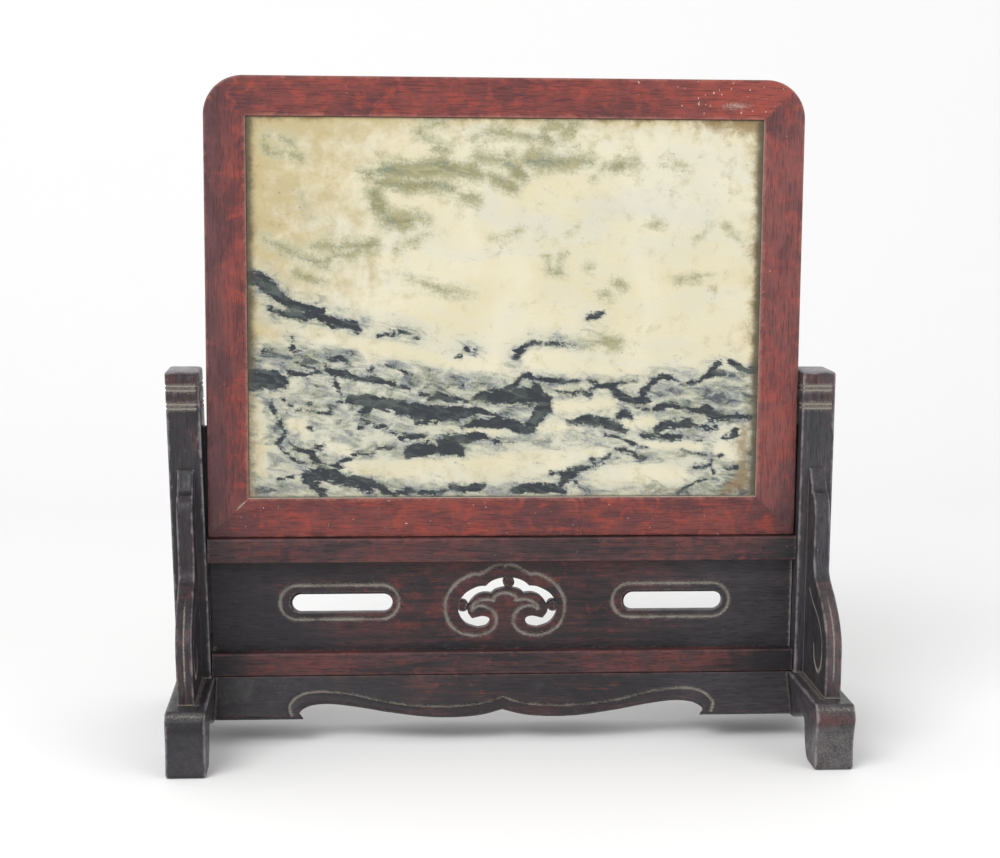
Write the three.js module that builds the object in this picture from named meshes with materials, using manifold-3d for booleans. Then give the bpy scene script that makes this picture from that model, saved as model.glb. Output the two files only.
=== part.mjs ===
// Table screen: a framed marble slab that stands between two posts on arched feet.
// Millimetres, +Z up, the front faces -Y, the origin is under the middle of the whole.

import * as THREE from "three";
import { mergeVertices } from "three/addons/utils/BufferGeometryUtils.js";
import Module from "manifold-3d";

const wasm = await Module();
wasm.setup();

// Clearance between pieces that touch
const gap = 0.3;

// How far a cutting shape runs past what it cuts, and a reach beyond the whole object
const overrun = 1;
const far = 500;

// Points of an outline nearer than this are one point
const samePoint = 0.05;

// Straight steps in an outline's round stretches
const cornerSteps = 3;
const roundSteps = 9;
const stadiumSteps = 6;

// Framed slab
const frameWidth = 400;
const frameHeight = 308;
const frameDepth = 18;
const frameOffset = -0.8;
const stileWidth = 27.6;
const topRailHeight = 26.4;
const bottomRailHeight = 27.1;
const frameCornerRadius = 26;
const frameEdge = 0.8;
const frameEdgeSteps = 3;
const mitreOverrun = 0.4;
const mitreBacking = 0.7 * gap;
const slabThickness = 10;
const slabRecess = 1.5;
const slabTongue = 4.6;
const slabTongueThickness = 5;
const slabTongueSetback = 3.5;
const tongueSlotDepth = 8.4;

// Feet
const footLength = 206.2;
const footHeight = 44;
const footWidth = 26;
const footSpacing = 419.6;
const footEdge = 1.2;

// Posts, which stand on the feet and lean slightly outward
const postWidth = 22.6;
const postDepth = 36;
const postTop = 253.4;
const postCorner = 1.4;
const postCapEdge = 2.2;
const leftPost = { centre: -210.3, lean: 0.0285 };
const rightPost = { centre: 211.0, lean: 0.004 };
const incisedLines = [243.4, 240.4, 231.1, 228.2];
const incisedWidth = 1.2;
const incisedDepth = 0.8;
const tongueThickness = 6;
const tongueReach = 7;
const tongueTop = 214.5;

// Cross rails, pierced panel and aprons
const railDepth = 26;
const upperRailTop = 139;
const upperRailBottom = 122.4;
const lowerRailTop = 60;
const lowerRailBottom = footHeight + gap;
const railEdge = 0.8;
const panelThickness = 8;
const panelTongue = 3;
const apronThickness = 5.5;
const apronSlope = 34 * Math.PI / 180;
const apronTopForward = 12.5;
const apronCentre = -2;
const apronUncut = 4;

// Carving
const carvedWidth = 1.5;
const carvedDepth = 1;
const slotWidth = 68.4;
const slotHeight = 12.6;
const slotCentreHeight = 92.2;
const slotBorderWidth = 80.8;
const slotBorderHeight = 23.6;
const slotBorderCentreHeight = 93.4;
const slotBorderCentres = [-112.5, 115];
const piercingShift = 2;
const cloudCentre = 0.6;
const cloudHeight = 91.4;
const roundelRadius = 3.9;
const roundelSides = 14;
const roundels = [[0.5, 15], [-30.9, -1.5], [30.9, -1.5]];

// Spandrels
const spandrelThickness = 11;
const spandrelEdge = 1.3;

const frameBottom = upperRailTop + gap;
const frameTop = frameBottom + frameHeight;
const frameLeft = frameOffset - frameWidth / 2;
const frameRight = frameOffset + frameWidth / 2;
const openingLeft = frameLeft + stileWidth;
const openingRight = frameRight - stileWidth;
const openingBottom = frameBottom + bottomRailHeight;
const openingTop = frameTop - topRailHeight;
const slabFront = -frameDepth / 2 + slabRecess;

function material(colour, roughness) {
  return new THREE.MeshStandardMaterial({ color: colour, roughness, metalness: 0 });
}

const frameWood = material(0x82403a, 0.42);
const standWood = material(0x44383a, 0.45);
const marble = material(0xd9d0b0, 0.25);

// Geometry to solid and back

function solid(geometry) {
  const bare = geometry.clone();
  bare.deleteAttribute("normal");
  bare.deleteAttribute("uv");
  const merged = mergeVertices(bare);
  return new wasm.Manifold(new wasm.Mesh({
    numProp: 3,
    vertProperties: new Float32Array(merged.attributes.position.array),
    triVerts: new Uint32Array(merged.index.array),
  }));
}

function geometryOf(body) {
  const mesh = body.getMesh();
  const geometry = new THREE.BufferGeometry();
  geometry.setAttribute("position", new THREE.BufferAttribute(new Float32Array(mesh.vertProperties), 3));
  geometry.setIndex(new THREE.BufferAttribute(new Uint32Array(mesh.triVerts), 1));
  geometry.computeVertexNormals();
  return geometry;
}

// A box between two corners

function box(low, high) {
  const size = high.map((value, axis) => value - low[axis]);
  const middle = high.map((value, axis) => (value + low[axis]) / 2);
  return solid(new THREE.BoxGeometry(...size).translate(...middle));
}

// A shape given depth, with its edges cut back or rounded in a number of steps

function extrude(shape, depth, edge, edgeSteps, arcSteps) {
  return new THREE.ExtrudeGeometry(shape, {
    depth: depth - 2 * edge,
    bevelEnabled: edge > 0,
    bevelSize: edge,
    bevelThickness: edge,
    bevelOffset: -edge,
    bevelSegments: edgeSteps,
    curveSegments: arcSteps,
  }).translate(0, 0, edge);
}

// A shape drawn in x and z, given thickness from its front face back

function frontal(shape, front, thickness, edge = 0, edgeSteps = 1, arcSteps = cornerSteps) {
  const geometry = extrude(shape, thickness, edge, edgeSteps, arcSteps);
  return geometry.rotateX(Math.PI / 2).translate(0, front + thickness, 0);
}

// A shape drawn as depth and height, its first coordinate running forward, given width along x

const sidewaysTurn = new THREE.Matrix4().makeBasis(
  new THREE.Vector3(0, -1, 0),
  new THREE.Vector3(0, 0, 1),
  new THREE.Vector3(-1, 0, 0),
);

function sideways(shape, centre, width, edge = 0) {
  const geometry = extrude(shape, width, edge, 1, cornerSteps);
  return geometry.applyMatrix4(sidewaysTurn).translate(centre + width / 2, 0, 0);
}

// Leans a post's own geometry outward from the top of the foot

function lean(geometry, slope) {
  const shear = new THREE.Matrix4().set(
    1, 0, slope, -slope * footHeight,
    0, 1, 0, 0,
    0, 0, 1, 0,
    0, 0, 0, 1,
  );
  return geometry.applyMatrix4(shear);
}

function innerFaceAt(post, height) {
  const side = Math.sign(post.centre);
  return post.centre - side * postWidth / 2 + side * post.lean * (height - footHeight);
}

// Curves and carved lines

function smooth(points, steps) {
  const curve = new THREE.SplineCurve(points.map(([x, y]) => new THREE.Vector2(x, y)));
  return curve.getPoints((points.length - 1) * steps);
}

function mirrored(points) {
  return points.map((point) => new THREE.Vector2(-point.x, point.y)).reverse();
}

function joined(sections) {
  const points = [];
  for (const section of sections) {
    for (const point of section) {
      const last = points[points.length - 1];
      if (!last || last.distanceTo(point) > samePoint) points.push(point);
    }
  }
  if (points[0].distanceTo(points[points.length - 1]) < samePoint) points.pop();
  return points;
}

function polygon(points) {
  return new THREE.Shape(points.map((point) => new THREE.Vector2(...point)));
}

// The outline of a line of constant width along a smooth run of points

function ribbon(points, width) {
  const left = [];
  const right = [];
  points.forEach((point, index) => {
    const before = points[Math.max(index - 1, 0)];
    const after = points[Math.min(index + 1, points.length - 1)];
    const along = after.clone().sub(before).normalize();
    const across = new THREE.Vector2(-along.y, along.x).multiplyScalar(width / 2);
    left.push(point.clone().add(across));
    right.push(point.clone().sub(across));
  });
  return new THREE.Shape([...left, ...right.reverse()]);
}

function carve(body, sections, cutter) {
  return sections.reduce((left, section) => left.subtract(solid(cutter(section))), body);
}

// Marble slab with a thinner edge all round

function marbleSlab() {
  const face = box(
    [openingLeft + gap, slabFront, openingBottom + gap],
    [openingRight - gap, slabFront + slabThickness, openingTop - gap],
  );
  const reach = slabTongue - gap;
  const tongueFront = slabFront + slabTongueSetback;
  const edge = box(
    [openingLeft - reach, tongueFront, openingBottom - reach],
    [openingRight + reach, tongueFront + slabTongueThickness, openingTop + reach],
  );
  return face.add(edge);
}

// Mitred frame

function frameOutline() {
  const outline = new THREE.Shape();
  outline.moveTo(frameLeft, frameBottom);
  outline.lineTo(frameRight, frameBottom);
  outline.lineTo(frameRight, frameTop - frameCornerRadius);
  const cornerHeight = frameTop - frameCornerRadius;
  outline.absarc(frameRight - frameCornerRadius, cornerHeight, frameCornerRadius, 0, Math.PI / 2);
  outline.absarc(frameLeft + frameCornerRadius, cornerHeight, frameCornerRadius, Math.PI / 2, Math.PI);
  outline.lineTo(frameLeft, frameBottom);
  return outline;
}

function frameRing() {
  const bar = frontal(frameOutline(), -frameDepth / 2, frameDepth, frameEdge, frameEdgeSteps, roundSteps);
  const whole = solid(bar);
  const opening = box(
    [openingLeft, -frameDepth, openingBottom],
    [openingRight, frameDepth, openingTop],
  );
  const grooveFront = slabFront + slabTongueSetback - gap;
  const grooveBack = grooveFront + slabTongueThickness + 2 * gap;
  const groove = box(
    [openingLeft - slabTongue, grooveFront, openingBottom - slabTongue],
    [openingRight + slabTongue, grooveBack, openingTop + slabTongue],
  );
  const half = tongueThickness / 2 + gap;
  const leftSlot = box(
    [frameLeft - overrun, -half, frameBottom - overrun],
    [frameLeft + tongueSlotDepth, half, tongueTop + gap],
  );
  const rightSlot = box(
    [frameRight - tongueSlotDepth, -half, frameBottom - overrun],
    [frameRight + overrun, half, tongueTop + gap],
  );
  return whole.subtract(opening).subtract(groove).subtract(leftSlot).subtract(rightSlot);
}

// The frame's part between the mitre lines of two neighbouring corners

function mitredMember(ring, cornerA, cornerB) {
  const outer = {
    topLeft: [frameLeft, frameTop],
    topRight: [frameRight, frameTop],
    bottomLeft: [frameLeft, frameBottom],
    bottomRight: [frameRight, frameBottom],
  };
  const inner = {
    topLeft: [openingLeft, openingTop],
    topRight: [openingRight, openingTop],
    bottomLeft: [openingLeft, openingBottom],
    bottomRight: [openingRight, openingBottom],
  };
  const alongMitre = (corner, share) => outer[corner].map(
    (value, axis) => value + share * (inner[corner][axis] - value),
  );
  const middle = [frameOffset, (frameTop + frameBottom) / 2];
  const centre = [0, 1].map((axis) => (outer[cornerA][axis] + outer[cornerB][axis]) / 2);
  const outward = [0, 1].map((axis) => Math.sign(Math.round(centre[axis] - middle[axis])));
  const corners = [
    alongMitre(cornerA, -mitreOverrun),
    alongMitre(cornerB, -mitreOverrun),
    alongMitre(cornerB, 1 + mitreOverrun),
    alongMitre(cornerA, 1 + mitreOverrun),
  ];
  const moved = corners.map((corner) => corner.map(
    (value, axis) => value + outward[axis] * mitreBacking,
  ));
  return ring.intersect(solid(frontal(polygon(moved), -frameDepth, 2 * frameDepth)));
}

// Feet

function footShape() {
  const halfLength = footLength / 2;
  const front = joined([
    smooth([[0, 14.2], [22, 15], [40, 19.4], [54, 23.9]], 2),
    smooth([[54, 23.9], [61, 25.4], [64.8, 22.4], [66, 16], [69, 7], [74, 1.4], [80, 0]], 2),
    smooth([[80, 0], [96.6, 0]], 1),
    smooth([[96.6, 0], [98.6, 0.9], [99.2, 3]], 2),
    smooth([[99.2, 3], [98.8, 14], [99.4, 21], [101.4, 27.5], [halfLength, 34.4]], 2),
    smooth([[halfLength, 34.4], [101.6, 39], [99.4, 41], [98.6, 43.2], [96.6, footHeight]], 2),
  ]);
  const back = mirrored(front);
  return new THREE.Shape(joined([front, back]));
}

function foot(side) {
  const centre = side * footSpacing / 2;
  return solid(sideways(footShape(), centre, footWidth, footEdge));
}

// Posts

function roundedRectangle(width, depth, radius) {
  const x = width / 2;
  const y = depth / 2;
  const shape = new THREE.Shape();
  shape.absarc(x - radius, -y + radius, radius, -Math.PI / 2, 0);
  shape.absarc(x - radius, y - radius, radius, 0, Math.PI / 2);
  shape.absarc(-x + radius, y - radius, radius, Math.PI / 2, Math.PI);
  shape.absarc(-x + radius, -y + radius, radius, Math.PI, Math.PI * 1.5);
  return shape;
}

function incisedLine(height, centre) {
  const low = height - incisedWidth / 2;
  const high = height + incisedWidth / 2;
  const outside = box(
    [centre - postWidth, -postDepth, low],
    [centre + postWidth, postDepth, high],
  );
  const coreX = postWidth / 2 - incisedDepth;
  const coreY = postDepth / 2 - incisedDepth;
  const core = box(
    [centre - coreX, -coreY, low - overrun],
    [centre + coreX, coreY, high + overrun],
  );
  return outside.subtract(core);
}

function post(placement) {
  const side = Math.sign(placement.centre);
  const start = footHeight - postCapEdge - overrun;
  const section = roundedRectangle(postWidth, postDepth, postCorner + postCapEdge);
  const shaft = extrude(section, postTop - start, postCapEdge, 1, cornerSteps);
  shaft.translate(placement.centre, 0, start);
  let body = solid(shaft).subtract(box([-far, -far, 0], [far, far, footHeight + gap]));
  for (const height of incisedLines) {
    body = body.subtract(incisedLine(height, placement.centre));
  }
  const face = placement.centre - side * postWidth / 2;
  const tip = face - side * tongueReach;
  const tongue = box(
    [Math.min(tip, placement.centre), -tongueThickness / 2, upperRailTop + gap],
    [Math.max(tip, placement.centre), tongueThickness / 2, tongueTop],
  );
  return solid(lean(geometryOf(body.add(tongue)), side * placement.lean));
}

// Spandrels: depth is measured forward from the post's face

const postFace = postDepth / 2;

function spandrelShape() {
  const edge = joined([
    smooth([[-6, 187.2], [3.4, 187.2]], 1),
    smooth([[3.4, 187.2], [10.2, 174.4]], 1),
    smooth([[10.2, 174.4], [10.6, 173], [15, 172.4]], 2),
    smooth([[15, 172.4], [19.4, 167], [22.2, 158], [23, 146], [22.6, 130], [26, 119], [35, 112.6]], 2),
    smooth([[35, 112.6], [44, 107.4], [54.5, 99], [62, 90.5], [66.4, 81], [67.6, 68], [67.4, 40]], 2),
    smooth([[67.4, 40], [-6, 40]], 1),
  ]);
  return new THREE.Shape(edge.map((point) => new THREE.Vector2(point.x + postFace, point.y)));
}

// The line cut in both sides of a spandrel, ending in a hook

function spandrelLine() {
  const run = [[13, 106.6], [23, 100], [36, 94.6], [46, 88.8], [52.6, 81], [54.4, 70], [52.4, 61.4]];
  const hook = [[52.4, 61.4], [46, 57.2], [38.4, 58.6], [33, 64], [30.6, 72]];
  return [run, hook].map((points) => shifted(smooth(points, 2), postFace, 0));
}

function spandrel(placement, forward) {
  const centre = placement.centre;
  let body = solid(sideways(spandrelShape(), centre, spandrelThickness, spandrelEdge));
  const insidePost = box([-far, -postFace - gap, 0], [far, far, far]);
  const insideFoot = box([-far, -far, 0], [far, far, footHeight + gap]);
  body = body.subtract(insidePost).subtract(insideFoot);
  for (const faceSide of [-1, 1]) {
    const face = centre + faceSide * spandrelThickness / 2;
    body = carve(body, spandrelLine(), (section) => (
      sideways(ribbon(section, carvedWidth), face, 2 * carvedDepth)
    ));
  }
  const upright = geometryOf(body);
  if (!forward) upright.translate(-centre, 0, 0).rotateZ(Math.PI).translate(centre, 0, 0);
  return solid(lean(upright, Math.sign(centre) * placement.lean));
}

// Cross rails with a groove for the pierced panel

function rail(low, high, grooveLow, grooveHigh) {
  const start = innerFaceAt(leftPost, low) + gap;
  const end = innerFaceAt(rightPost, low) - gap;
  const outline = polygon([
    [railDepth / 2, low],
    [railDepth / 2, high],
    [-railDepth / 2, high],
    [-railDepth / 2, low],
  ]);
  const bar = solid(sideways(outline, (start + end) / 2, end - start, railEdge));
  const half = panelThickness / 2 + gap;
  return bar.subtract(box([-far, -half, grooveLow], [far, half, grooveHigh]));
}

// Pierced panel

function stadium(centreX, centreZ, width, height) {
  const radius = height / 2;
  const reach = width / 2 - radius;
  const shape = new THREE.Shape();
  shape.absarc(centreX + reach, centreZ, radius, -Math.PI / 2, Math.PI / 2);
  shape.absarc(centreX - reach, centreZ, radius, Math.PI / 2, Math.PI * 1.5);
  return shape;
}

function carvedStadium(centreX, centreZ, width, height) {
  const outside = stadium(centreX, centreZ, width + carvedWidth, height + carvedWidth);
  const inside = stadium(centreX, centreZ, width - carvedWidth, height - carvedWidth);
  outside.holes.push(new THREE.Path(inside.getPoints(stadiumSteps)));
  return outside;
}

// Left half of the cloud head, from the top middle round the lobe and back to the inner arch

function cloudBorder() {
  const lobe = [[-17.2, 20.6], [-23.5, 20.3], [-33.3, 14.6], [-40, 5], [-41, -5], [-37.4, -14.5], [-30.4, -20.2]];
  const curl = [[-30.4, -20.2], [-21.5, -22], [-12.8, -20.4], [-7, -15.8], [-6.2, -8.6], [-10.1, -3.4], [-16, -1.1]];
  return [
    smooth([[0, 25.2], [-1.4, 26.8], [-7.5, 26], [-13, 22.9], [-17.2, 20.6]], 2),
    smooth(lobe, 3),
    smooth(curl, 3),
    smooth([[-16, -1.1], [-19.6, -1.6], [-22.9, -4]], 2),
    smooth([[-22.9, -4], [-21.6, -0.2], [-17.4, 2.4], [-12.7, 3.1], [-7.6, 2.4]], 2),
    smooth([[-7.6, 2.4], [-7.4, 4.8], [-4.4, 6.9], [0, 7.8]], 2),
  ];
}

function cloudPiercing() {
  const lobe = [[-14.8, 12.3], [-20.4, 11.8], [-29, 7], [-33.6, -0.6], [-33.2, -8], [-28.4, -14.4], [-20.4, -17.2]];
  const half = joined([
    smooth([[0, 18.4], [-5.4, 17.7], [-10.8, 15.6], [-14.8, 12.3]], 2),
    smooth(lobe, 3),
    smooth([[-20.4, -17.2], [-14.8, -16], [-12.2, -12.6], [-13.4, -9.8], [-17.5, -8.8], [-24.4, -10.4]], 2),
    smooth([[-24.4, -10.4], [-27.4, -6], [-26.8, -0.8], [-22.4, 4.8], [-17, 7.2], [-11.2, 7]], 2),
    smooth([[-11.2, 7], [-7.6, 9.6], [0, 11.3]], 2),
  ]);
  return joined([half, mirrored(half)]);
}

function shifted(points, dx, dz) {
  return points.map((point) => new THREE.Vector2(point.x + dx, point.y + dz));
}

function pierced() {
  const low = lowerRailTop - panelTongue;
  const high = upperRailBottom + panelTongue;
  const outline = polygon([
    [innerFaceAt(leftPost, low) + gap, low],
    [innerFaceAt(rightPost, low) - gap, low],
    [innerFaceAt(rightPost, high) - gap, high],
    [innerFaceAt(leftPost, high) + gap, high],
  ]);
  const front = -panelThickness / 2;
  let body = solid(frontal(outline, front, panelThickness));
  const through = (shape) => (
    solid(frontal(shape, front - overrun, panelThickness + 2 * overrun, 0, 1, stadiumSteps))
  );
  const carved = (shape) => frontal(shape, front - carvedDepth, 2 * carvedDepth, 0, 1, stadiumSteps);

  for (const centre of slotBorderCentres) {
    const slot = stadium(centre + piercingShift, slotCentreHeight, slotWidth, slotHeight);
    body = body.subtract(through(slot));
    const border = carvedStadium(centre, slotBorderCentreHeight, slotBorderWidth, slotBorderHeight);
    body = body.subtract(solid(carved(border)));
  }

  const holeCentre = cloudCentre + piercingShift;
  let hole = through(new THREE.Shape(shifted(cloudPiercing(), holeCentre, cloudHeight)));
  for (const [x, z] of roundels) {
    const length = 2 * panelThickness;
    const disc = new THREE.CylinderGeometry(roundelRadius, roundelRadius, length, roundelSides);
    hole = hole.subtract(solid(disc.translate(holeCentre + x, 0, cloudHeight + z)));
  }
  body = body.subtract(hole);
  const left = cloudBorder();
  const sections = [...left, ...left.map(mirrored)];
  return carve(body, sections, (section) => (
    carved(ribbon(shifted(section, cloudCentre, cloudHeight), carvedWidth))
  ));
}

// Aprons: the shape is drawn flat with its top at zero, then tipped outward

function apronEdge() {
  const flat = -28.9;
  const swell = [[0, -23.4], [13, -26.9], [26, -28.4], [40, -28.7], [56, -27.7], [80, -24.2]];
  const hook = [[80, -24.2], [100, -20.5], [117, -18.4], [129, -19.2], [136, -22.4], [137.6, -25.4], [135.2, flat]];
  const half = joined([smooth(swell, 2), smooth(hook, 3)]);
  return { half, flat };
}

function apronLine() {
  return [
    smooth([[0, -15.6], [8, -18.8], [20, -21.4], [35, -22.4], [50, -22.2], [66, -20.8], [82, -18.2]], 2),
    smooth([[82, -18.2], [104, -12.8], [124, -11], [136.4, -13.2], [144, -20.4], [142.6, -27.6]], 3),
  ];
}

function apron(forward) {
  const reach = footSpacing / 2 - footWidth / 2 - gap;
  const { half, flat } = apronEdge();
  const placed = (points) => shifted(points, apronCentre, 0);
  const outline = new THREE.Shape(joined([
    [new THREE.Vector2(-reach, apronUncut), new THREE.Vector2(-reach, flat)],
    placed(mirrored(half)),
    placed(half),
    [new THREE.Vector2(reach, flat), new THREE.Vector2(reach, apronUncut)],
  ]));
  let body = solid(frontal(outline, 0, apronThickness));
  const lines = apronLine();
  body = carve(body, [...lines, ...lines.map(mirrored)], (section) => (
    frontal(ribbon(placed(section), carvedWidth), -carvedDepth, 2 * carvedDepth)
  ));
  const tipped = geometryOf(body).rotateX(-apronSlope);
  tipped.translate(0, -apronTopForward, lowerRailBottom - gap);
  const level = box([-far, -far, lowerRailBottom - gap], [far, far, far]);
  const trimmed = solid(tipped).subtract(level);
  if (forward) return trimmed;
  return solid(geometryOf(trimmed).rotateZ(Math.PI));
}

// Assembly

const screen = new THREE.Group();

function piece(name, body, look) {
  const mesh = new THREE.Mesh(geometryOf(body), look.clone());
  mesh.name = name;
  screen.add(mesh);
}

const ring = frameRing();

piece("marble_panel", marbleSlab(), marble);
piece("frame_top_rail", mitredMember(ring, "topLeft", "topRight"), frameWood);
piece("frame_bottom_rail", mitredMember(ring, "bottomLeft", "bottomRight"), frameWood);
piece("frame_left_stile", mitredMember(ring, "topLeft", "bottomLeft"), frameWood);
piece("frame_right_stile", mitredMember(ring, "topRight", "bottomRight"), frameWood);
piece("post_left", post(leftPost), standWood);
piece("post_right", post(rightPost), standWood);
piece("spandrel_front_left", spandrel(leftPost, true), standWood);
piece("spandrel_front_right", spandrel(rightPost, true), standWood);
piece("spandrel_back_left", spandrel(leftPost, false), standWood);
piece("spandrel_back_right", spandrel(rightPost, false), standWood);
piece("foot_left", foot(-1), standWood);
piece("foot_right", foot(1), standWood);
const grooveDepth = panelTongue + gap;
const upperGroove = [upperRailBottom - overrun, upperRailBottom + grooveDepth];
const lowerGroove = [lowerRailTop - grooveDepth, lowerRailTop + overrun];
piece("upper_rail", rail(upperRailBottom, upperRailTop, ...upperGroove), standWood);
piece("lower_rail", rail(lowerRailBottom, lowerRailTop, ...lowerGroove), standWood);
piece("pierced_panel", pierced(), standWood);
piece("apron_front", apron(true), standWood);
piece("apron_back", apron(false), standWood);

// The leaning posts reach further to the left, so the whole is moved to stand over its own middle

const bounds = new THREE.Box3().setFromObject(screen);
screen.position.x = -(bounds.min.x + bounds.max.x) / 2;

export default screen;
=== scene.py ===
"""Framed marble slab on its carved wooden stand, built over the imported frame.

Shapes are in millimetres as in the CAD source, before that source moves the whole over its middle.
"""

import math
from itertools import product

import bmesh
import bpy
import numpy as np
from mathutils import Matrix, Vector
from mathutils.geometry import delaunay_2d_cdt


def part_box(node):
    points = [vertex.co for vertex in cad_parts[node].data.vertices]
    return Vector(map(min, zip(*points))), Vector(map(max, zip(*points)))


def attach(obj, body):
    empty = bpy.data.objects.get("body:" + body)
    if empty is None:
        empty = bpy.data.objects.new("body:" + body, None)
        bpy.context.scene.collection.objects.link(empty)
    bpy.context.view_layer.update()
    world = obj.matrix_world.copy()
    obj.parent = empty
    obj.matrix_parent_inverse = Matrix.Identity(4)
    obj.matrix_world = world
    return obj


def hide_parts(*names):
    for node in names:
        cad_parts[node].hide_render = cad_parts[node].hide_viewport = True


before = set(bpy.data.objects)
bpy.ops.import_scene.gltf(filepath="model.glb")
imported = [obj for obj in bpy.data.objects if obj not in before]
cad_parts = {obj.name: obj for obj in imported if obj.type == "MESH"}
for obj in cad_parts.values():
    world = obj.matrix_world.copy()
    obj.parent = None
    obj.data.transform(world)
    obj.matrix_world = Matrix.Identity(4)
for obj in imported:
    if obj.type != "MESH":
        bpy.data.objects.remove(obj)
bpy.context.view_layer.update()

# Framed slab
frame_width = 400
frame_height = 308
frame_depth = 18
frame_offset = -0.8
stile_width = 27.6
top_rail_height = 26.4
bottom_rail_height = 27.1
frame_corner_radius = 26
frame_edge_radius = 1.3
mitre_edge_radius = 0.7
mitre_gap = 0.03
slab_thickness = 10
slab_recess = 1.5
slab_tongue = 4.6
slab_tongue_thickness = 5
slab_tongue_setback = 3.5
tongue_slot_depth = 8.4

# Feet
foot_length = 206.2
foot_height = 44
foot_width = 26
foot_spacing = 419.6

# Posts
post_width = 22.6
post_depth = 36
post_top = 253.4
post_corner = 1.4
incised_lines = [243.4, 240.4, 231.1, 228.2]
tongue_thickness = 6
tongue_reach = 7
tongue_top = 214.5
left_post = {"centre": -210.3, "lean": 0.0285}
right_post = {"centre": 211.0, "lean": 0.004}

# Rings that round off a post's top: how far in from its sides, and how far below its top
post_crown = [(0.25, 1.8), (0.8, 1.0), (1.7, 0.5), (3.2, 0.25), (6.0, 0.1), (9.0, 0)]

# Cross rails, pierced panel and aprons
gap = 0.3
rail_depth = 26
upper_rail_top = 139
upper_rail_bottom = 122.4
lower_rail_top = 60
lower_rail_bottom = foot_height + gap
panel_thickness = 8
panel_tongue = 3
apron_thickness = 5.5
apron_slope = math.radians(34)
apron_top_forward = 12.5
apron_centre = -2

# Carving
slot_width = 68.4
slot_height = 12.6
slot_centre_height = 92.2
slot_border_width = 80.8
slot_border_height = 23.6
slot_border_centre_height = 93.4
slot_border_centres = [-112.5, 115]
piercing_shift = 2
cloud_centre = 0.6
cloud_height = 91.4
roundel_radius = 3.9
roundel_ring = 2.9
roundels = [(0.5, 15), (-30.9, -1.5), (30.9, -1.5)]
bevel_reach = 0.9
bevel_slide = -1.0
spandrel_thickness = 11
spandrel_top = 187.2
spandrel_reach = 67.4

# Points of the mesh across a carved line, each way from its middle
wide_line_points = (-1.7, -1.15, -0.75, -0.4, 0, 0.4, 0.75, 1.15, 1.7)
narrow_line_points = (-1.5, -1.0, -0.6, 0, 0.6, 1.0, 1.5)

# Rings of points beside an edge, as shares of its radius, and the least distance between loose points
edge_rings = (0.134, 0.5, 1.0)
least_step = 0.16

# How far apart the points of the frame's outlines lie, and the angle from which an edge is shaded sharp
frame_spacing = 1.8
crease = math.radians(38)

# The marble's veins run this much down to the right
vein_tilt = math.radians(9)

frame_bottom = upper_rail_top + gap
frame_top = frame_bottom + frame_height
frame_left = frame_offset - frame_width / 2
frame_right = frame_offset + frame_width / 2
opening_left = frame_left + stile_width
opening_right = frame_right - stile_width
opening_bottom = frame_bottom + bottom_rail_height
opening_top = frame_top - top_rail_height
slab_front = -frame_depth / 2 + slab_recess

# How much brighter the studio shows an upright surface than its own colour
studio_gain = 1.3

# The CAD source moves the whole this far to the right
foot_low, foot_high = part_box("foot_left")
shift = (foot_low.x + foot_high.x) * 500 + foot_spacing / 2


# Smooth random values from -1 to 1

def lattice(cells, seed):
    mixed = cells[:, 0] * 73856093 ^ cells[:, 1] * 19349663 ^ cells[:, 2] * 83492791
    mixed = (mixed ^ seed * 668265263) & 0xFFFFFFFF
    mixed = ((mixed ^ (mixed >> 15)) * 2246822519) & 0xFFFFFFFF
    mixed = ((mixed ^ (mixed >> 13)) * 3266489917) & 0xFFFFFFFF
    return (mixed ^ (mixed >> 16)) / 0xFFFFFFFF * 2 - 1


def value_noise(points, seed):
    cells = np.floor(points).astype(np.int64)
    share = points - cells
    share = share * share * (3 - 2 * share)
    total = np.zeros(len(points))
    for corner in range(8):
        step = np.array([corner & 1, corner >> 1 & 1, corner >> 2])
        weight = np.where(step, share, 1 - share).prod(axis=1)
        total += weight * lattice(cells + step, seed)
    return total


def noise(points, wavelength, seed, octaves=3):
    full = np.zeros((len(points), 3))
    full[:, :points.shape[1]] = points
    full = full / wavelength + 37.31
    total = np.zeros(len(points))
    for octave in range(octaves):
        total += value_noise(full * 2 ** octave, seed + octave) / 2 ** octave
    return total / 1.4


def blend(low, high, values):
    share = np.clip((values - low) / (high - low), 0, 1)
    return share * share * (3 - 2 * share)


def fade(away, width):
    """1 at no distance, fading out over about the width."""
    return np.exp(-(away / width) ** 2)


# Flat outlines

def smooth(points, spacing=1.2):
    known = np.array(points, float)
    padded = np.vstack([known[:1], known, known[-1:]])
    steps = np.linspace(0, 1, 13)[:, None]
    runs = []
    for index in range(len(known) - 1):
        before, start, end, after = padded[index:index + 4]
        pull = (end - before) / 2
        push = (after - start) / 2
        cubic = (2 * start - 2 * end + pull + push) * steps ** 3
        square = (3 * end - 3 * start - 2 * pull - push) * steps ** 2
        runs.append((cubic + square + pull * steps + start)[0 if index == 0 else 1:])
    return respaced(np.vstack(runs), spacing)


def respaced(points, spacing):
    lengths = np.concatenate([[0], np.cumsum(np.hypot(*np.diff(points, axis=0).T))])
    count = max(1, math.ceil(lengths[-1] / spacing))
    wanted = np.linspace(0, lengths[-1], count + 1)
    return np.column_stack([np.interp(wanted, lengths, axis) for axis in points.T])


def straight(start, end, spacing):
    return respaced(np.array([start, end], float), spacing)


def joined(sections):
    points = np.vstack(sections)
    step = np.hypot(*(points - np.roll(points, 1, axis=0)).T)
    return points[step > 0.05]


def closed(corners, spacing):
    ring = np.array(list(corners) + [corners[0]], float)
    sides = [respaced(ring[index:index + 2], spacing) for index in range(len(corners))]
    return joined(sides)


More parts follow.
